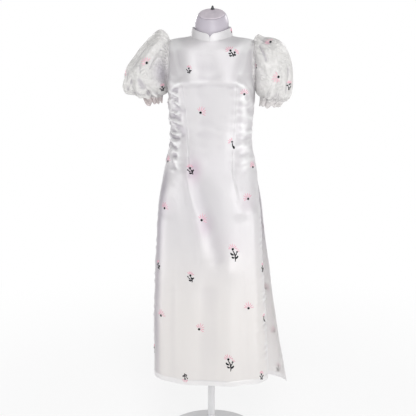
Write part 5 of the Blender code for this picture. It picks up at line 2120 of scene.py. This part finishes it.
@dataclass
class DressForm:
    """The smooth limbless form, its slanted neck cap and the small knob near the cap's back."""

    clearance: float = 0.0048
    shoulder_clearance: float = 0.0015
    rounder: float = 0.3
    columns: int = 120
    steps: int = 4
    neck_y: float = -0.003
    neck_top_z: float = 1.4875
    cap_slope: float = 0.45
    cap_gap: float = 0.00036
    cap_reach: float = 0.0425
    cap_depth: float = 0.0388
    cap_thick: float = 0.003
    cap_dome: float = 0.0015
    knob_radius: float = 0.007
    knob_height: float = 0.011
    knob_back: float = 0.028

    def family(self) -> RingFamily:
        """Return the form's surface up to the base of its neck, inside the cloth."""
        rings = [Ring(row.z, row.z, row.z, row.reach, row.reach, row.front, row.back, row.square)
                 for row in FORM_ROWS]
        for row in BODY_ROWS[ARMPIT_RING:]:
            reach = min(row.right, row.left) - self.clearance
            rings.append(Ring(row.side_z - self.shoulder_clearance, row.front_z - self.clearance,
                              row.back_z - self.clearance, reach, reach, row.front - self.clearance,
                              row.back - self.clearance, max(row.square - self.rounder, 2.0)))
        return RingFamily(rings)

    def build(self) -> None:
        """Make the body, the cap and the knob."""
        shift = np.array([0.0, self.neck_y, 0.0])
        family = self.family()
        rings = []
        for level in np.linspace(0, family.last, family.last * self.steps + 1):
            angles, run = family.run(float(level), 0.0, 360.0)
            wanted = np.arange(self.columns) * run[-1] / self.columns
            turns = np.interp(wanted, run, angles)
            rings.append(family.points(turns, np.full(self.columns, level)))
        for place in np.linspace(0, len(NECK_ROWS) - 1, 4 * len(NECK_ROWS)):
            sizes = [float(spline([getattr(row, name) for row in NECK_ROWS], place))
                     for name in ("z", "reach", "depth", "slope")]
            rings.append(slanted_ring(*sizes, self.columns) + shift)
        fit(stack("form_body_smooth", rings, FORM_SHELL), "form_body")
        low = self.neck_top_z + self.cap_gap
        high = low + self.cap_thick
        profile = ((low, 0.985), (low + 0.0005, 1.0), (high - 0.0009, 1.0), (high - 0.0002, 0.985),
                   (high + 0.0003, 0.955), (high + 0.55 * self.cap_dome, 0.80),
                   (high + 0.85 * self.cap_dome, 0.5), (high + self.cap_dome, 0.15))
        cap = [slanted_ring(z, self.cap_reach * share, self.cap_depth * share, self.cap_slope, self.columns)
               + shift for z, share in profile]
        fit(stack("neck_cap_smooth", cap, FORM_CAP), "neck_cap")
        foot = high + self.cap_dome + self.cap_gap
        turned = ((0.0, 0.92, 1.0), (0.04, 1.0, 0.9), (0.12, 1.0, 0.7), (0.2, 0.86, 0.5), (0.45, 0.62, 0.2),
                  (0.75, 0.48, 0.0), (0.92, 0.42, 0.0), (1.0, 0.26, 0.0))
        move = shift + np.array([0.0, self.knob_back, self.cap_slope * self.knob_back])
        knob = [slanted_ring(foot + rise * self.knob_height, self.knob_radius * wide, self.knob_radius * wide,
                             self.cap_slope * slant, 32) + move for rise, wide, slant in turned]
        fit(stack("cap_knob_turned", knob, KNOB), "cap_knob")


@dataclass
class Stand:
    """The pole and the round base whose hub holds it."""

    pole_radius: float = 0.0125
    seat_gap: float = 0.0003
    form_bottom: float = 0.70
    base_radius: float = 0.160
    base_thick: float = 0.012
    edge: float = 0.003
    hub_radius: float = 0.024
    hub_top: float = 0.052
    socket_floor: float = 0.014
    columns: int = 96

    def turned(self, name: str, profile: Sequence[tuple], node: str) -> None:
        """Turn a profile of (radius, z) pairs round the axis, and put it in the place of a node."""
        rings = [slanted_ring(z, radius, radius, 0.0, self.columns) for radius, z in profile]
        fit(stack(name, rings, ENAMEL), node)

    def rounded(self, radius: float, z: float, outward: bool) -> list:
        """Return a quarter round at a rim, from its side to its top or from its underside to its side."""
        turns = np.linspace(0, math.pi / 2, 5)
        if outward:
            return [(radius - self.edge + self.edge * math.sin(turn), z + self.edge - self.edge * math.cos(turn))
                    for turn in turns]
        return [(radius - self.edge + self.edge * math.cos(turn), z - self.edge + self.edge * math.sin(turn))
                for turn in turns]

    def build(self) -> None:
        """Make the pole and the base."""
        socket = self.pole_radius + self.seat_gap
        outside = self.rounded(self.base_radius, 0.0, True)
        outside += self.rounded(self.base_radius, self.base_thick, False)
        outside += [(self.hub_radius + 0.004, self.base_thick),
                    (self.hub_radius + 0.001, self.base_thick + 0.001),
                    (self.hub_radius, self.base_thick + 0.004)]
        outside += self.rounded(self.hub_radius, self.hub_top, False)
        outside += [(socket, self.hub_top), (socket, self.socket_floor)]
        self.turned("base_turned", outside, "base")
        pole = [(self.pole_radius, self.socket_floor + self.seat_gap),
                (self.pole_radius, self.form_bottom - self.seat_gap)]
        self.turned("pole_turned", pole, "pole")


# Studio


@dataclass
class Studio:
    """The floor, the soft lights and the camera."""

    view_degrees: float = 6.0
    pitch_degrees: float = 11.64
    distance: float = 3.0
    height: float = 1.45
    focal_pixels: float = 884.0
    image_pixels: float = 416.0
    axis_offset_pixels: float = 3.7
    floor_radius: float = 60.0

    def build(self) -> None:
        """Make everything that stands round the object."""
        self.floor()
        self.sky()
        self.softbox("key", (0.5, -2.8, 2.35), (0.0, 0.0, 1.0), 1.5, 22.0)
        self.softbox("top", (0.2, -1.7, 3.5), (0.0, 0.0, 1.1), 1.4, 18.0)
        self.softbox("fill", (-2.6, -1.5, 1.0), (0.0, 0.0, 0.9), 1.2, 5.0)
        self.softbox("low", (-2.6, -0.2, 0.45), (0.2, 0.05, 0.45), 0.8, 9.0)
        self.softbox("front", (1.5, -2.9, 0.9), (0.1, 0.0, 0.5), 0.8, 15.0)
        self.softbox("side", (2.4, -1.5, 0.7), (0.2, 0.05, 0.5), 1.0, 10.0)
        self.softbox("rim", (1.8, 1.9, 2.6), (0.0, 0.0, 1.1), 1.2, 24.0, 0.2)
        self.softbox("back", (-1.6, 2.6, 2.0), (0.0, 0.0, 0.9), 1.5, 26.0, 0.3)
        self.camera()
        settings = bpy.context.scene.view_settings
        settings.view_transform = "Standard"
        settings.look = "None"

    def floor(self) -> None:
        """Lay the wide pale floor."""
        turn = np.arange(96) * 2 * math.pi / 96
        points = np.stack([self.floor_radius * np.cos(turn), self.floor_radius * np.sin(turn), np.zeros(96)],
                          axis=-1)
        mesh = bpy.data.meshes.new("studio_floor")
        mesh.from_pydata(points.tolist(), [], [tuple(range(96))])
        mesh.materials.append(StudioFloor().material())
        item = bpy.data.objects.new("studio_floor", mesh)
        bpy.context.scene.collection.objects.link(item)

    def sky(self) -> None:
        """Light the room evenly, and show it as plain white."""
        world = bpy.data.worlds.new("studio")
        world.use_nodes = True
        tree = world.node_tree
        back = tree.nodes["Background"]
        back.inputs["Color"].default_value = (1.0, 1.0, 1.0, 1.0)
        path = tree.nodes.new("ShaderNodeLightPath")
        level = tree.nodes.new("ShaderNodeMapRange")
        level.inputs["To Min"].default_value = 0.42
        level.inputs["To Max"].default_value = 1.0
        tree.links.new(path.outputs["Is Camera Ray"], level.inputs["Value"])
        tree.links.new(level.outputs["Result"], back.inputs["Strength"])
        bpy.context.scene.world = world

    def softbox(self, name: str, place: tuple, target: tuple, size: float, power: float,
                shine: float = 1.0) -> None:
        """Hang a round soft light that faces a target."""
        light = bpy.data.lights.new(name, "AREA")
        light.shape = "DISK"
        light.size = size
        light.energy = power
        light.specular_factor = shine
        item = bpy.data.objects.new(name, light)
        item.location = place
        item.rotation_euler = (Vector(target) - Vector(place)).to_track_quat("-Z", "Y").to_euler()
        bpy.context.scene.collection.objects.link(item)

    def camera(self) -> None:
        """Set the camera at the photograph's viewing angle."""
        turn = math.radians(self.view_degrees)
        lens = bpy.data.cameras.new("camera")
        lens.sensor_width = 36.0
        lens.lens = self.focal_pixels / self.image_pixels * lens.sensor_width
        lens.clip_end = 200.0
        item = bpy.data.objects.new("camera", lens)
        aside = self.axis_offset_pixels / self.focal_pixels * self.distance
        item.location = (self.distance * math.sin(turn) - aside * math.cos(turn),
                         -self.distance * math.cos(turn) - aside * math.sin(turn), self.height)
        item.rotation_euler = (math.radians(90.0 - self.pitch_degrees), 0.0, turn)
        bpy.context.scene.collection.objects.link(item)
        bpy.context.scene.camera = item


def main() -> None:
    """Build every piece and the studio."""
    Studio().build()
    panels = [front_panel(), back_panel(Side.LEFT, (0.29, 1.24), 0.262),
              back_panel(Side.RIGHT, (0.24, 1.24), 0.236)]
    for panel in panels:
        panel.build()
    collar = StandCollar()
    collar.build()
    LOG.info("collar set")
    # The last two numbers are the strength of the painted shade by the armhole and of the frill's warm painted
    # shade.
    sleeves = [PuffSleeve(Side.RIGHT, RIGHT_SLEEVE, RIGHT_DENTS, RIGHT_SCRUNCHES, 0.95, 0.50),
               PuffSleeve(Side.LEFT, LEFT_SLEEVE, LEFT_DENTS, LEFT_SCRUNCHES, 0.20, 0.12)]
    for sleeve in sleeves:
        sleeve.build()
    Seams(panels, sleeves).build()
    LOG.info("seams rolled")
    for panel, table in zip(panels, (FRONT_MOTIFS, BACK_LEFT_MOTIFS, BACK_RIGHT_MOTIFS)):
        Embroidery(panel.name, panel.laid.outer, False, table).build()
    Embroidery("collar_left", collar.grids[Side.LEFT], False, COLLAR_MOTIFS).build()
    for sleeve, table in zip(sleeves, (RIGHT_SLEEVE_MOTIFS, LEFT_SLEEVE_MOTIFS)):
        Embroidery("sleeve_" + sleeve.side.word, sleeve.grid, True, table).build()
    LOG.info("embroidery laid")
    DressForm().build()
    Stand().build()
    LOG.info("form and stand made")


if __name__ == "__main__":
    logging.basicConfig(level=logging.INFO, format="%(message)s")
    main()
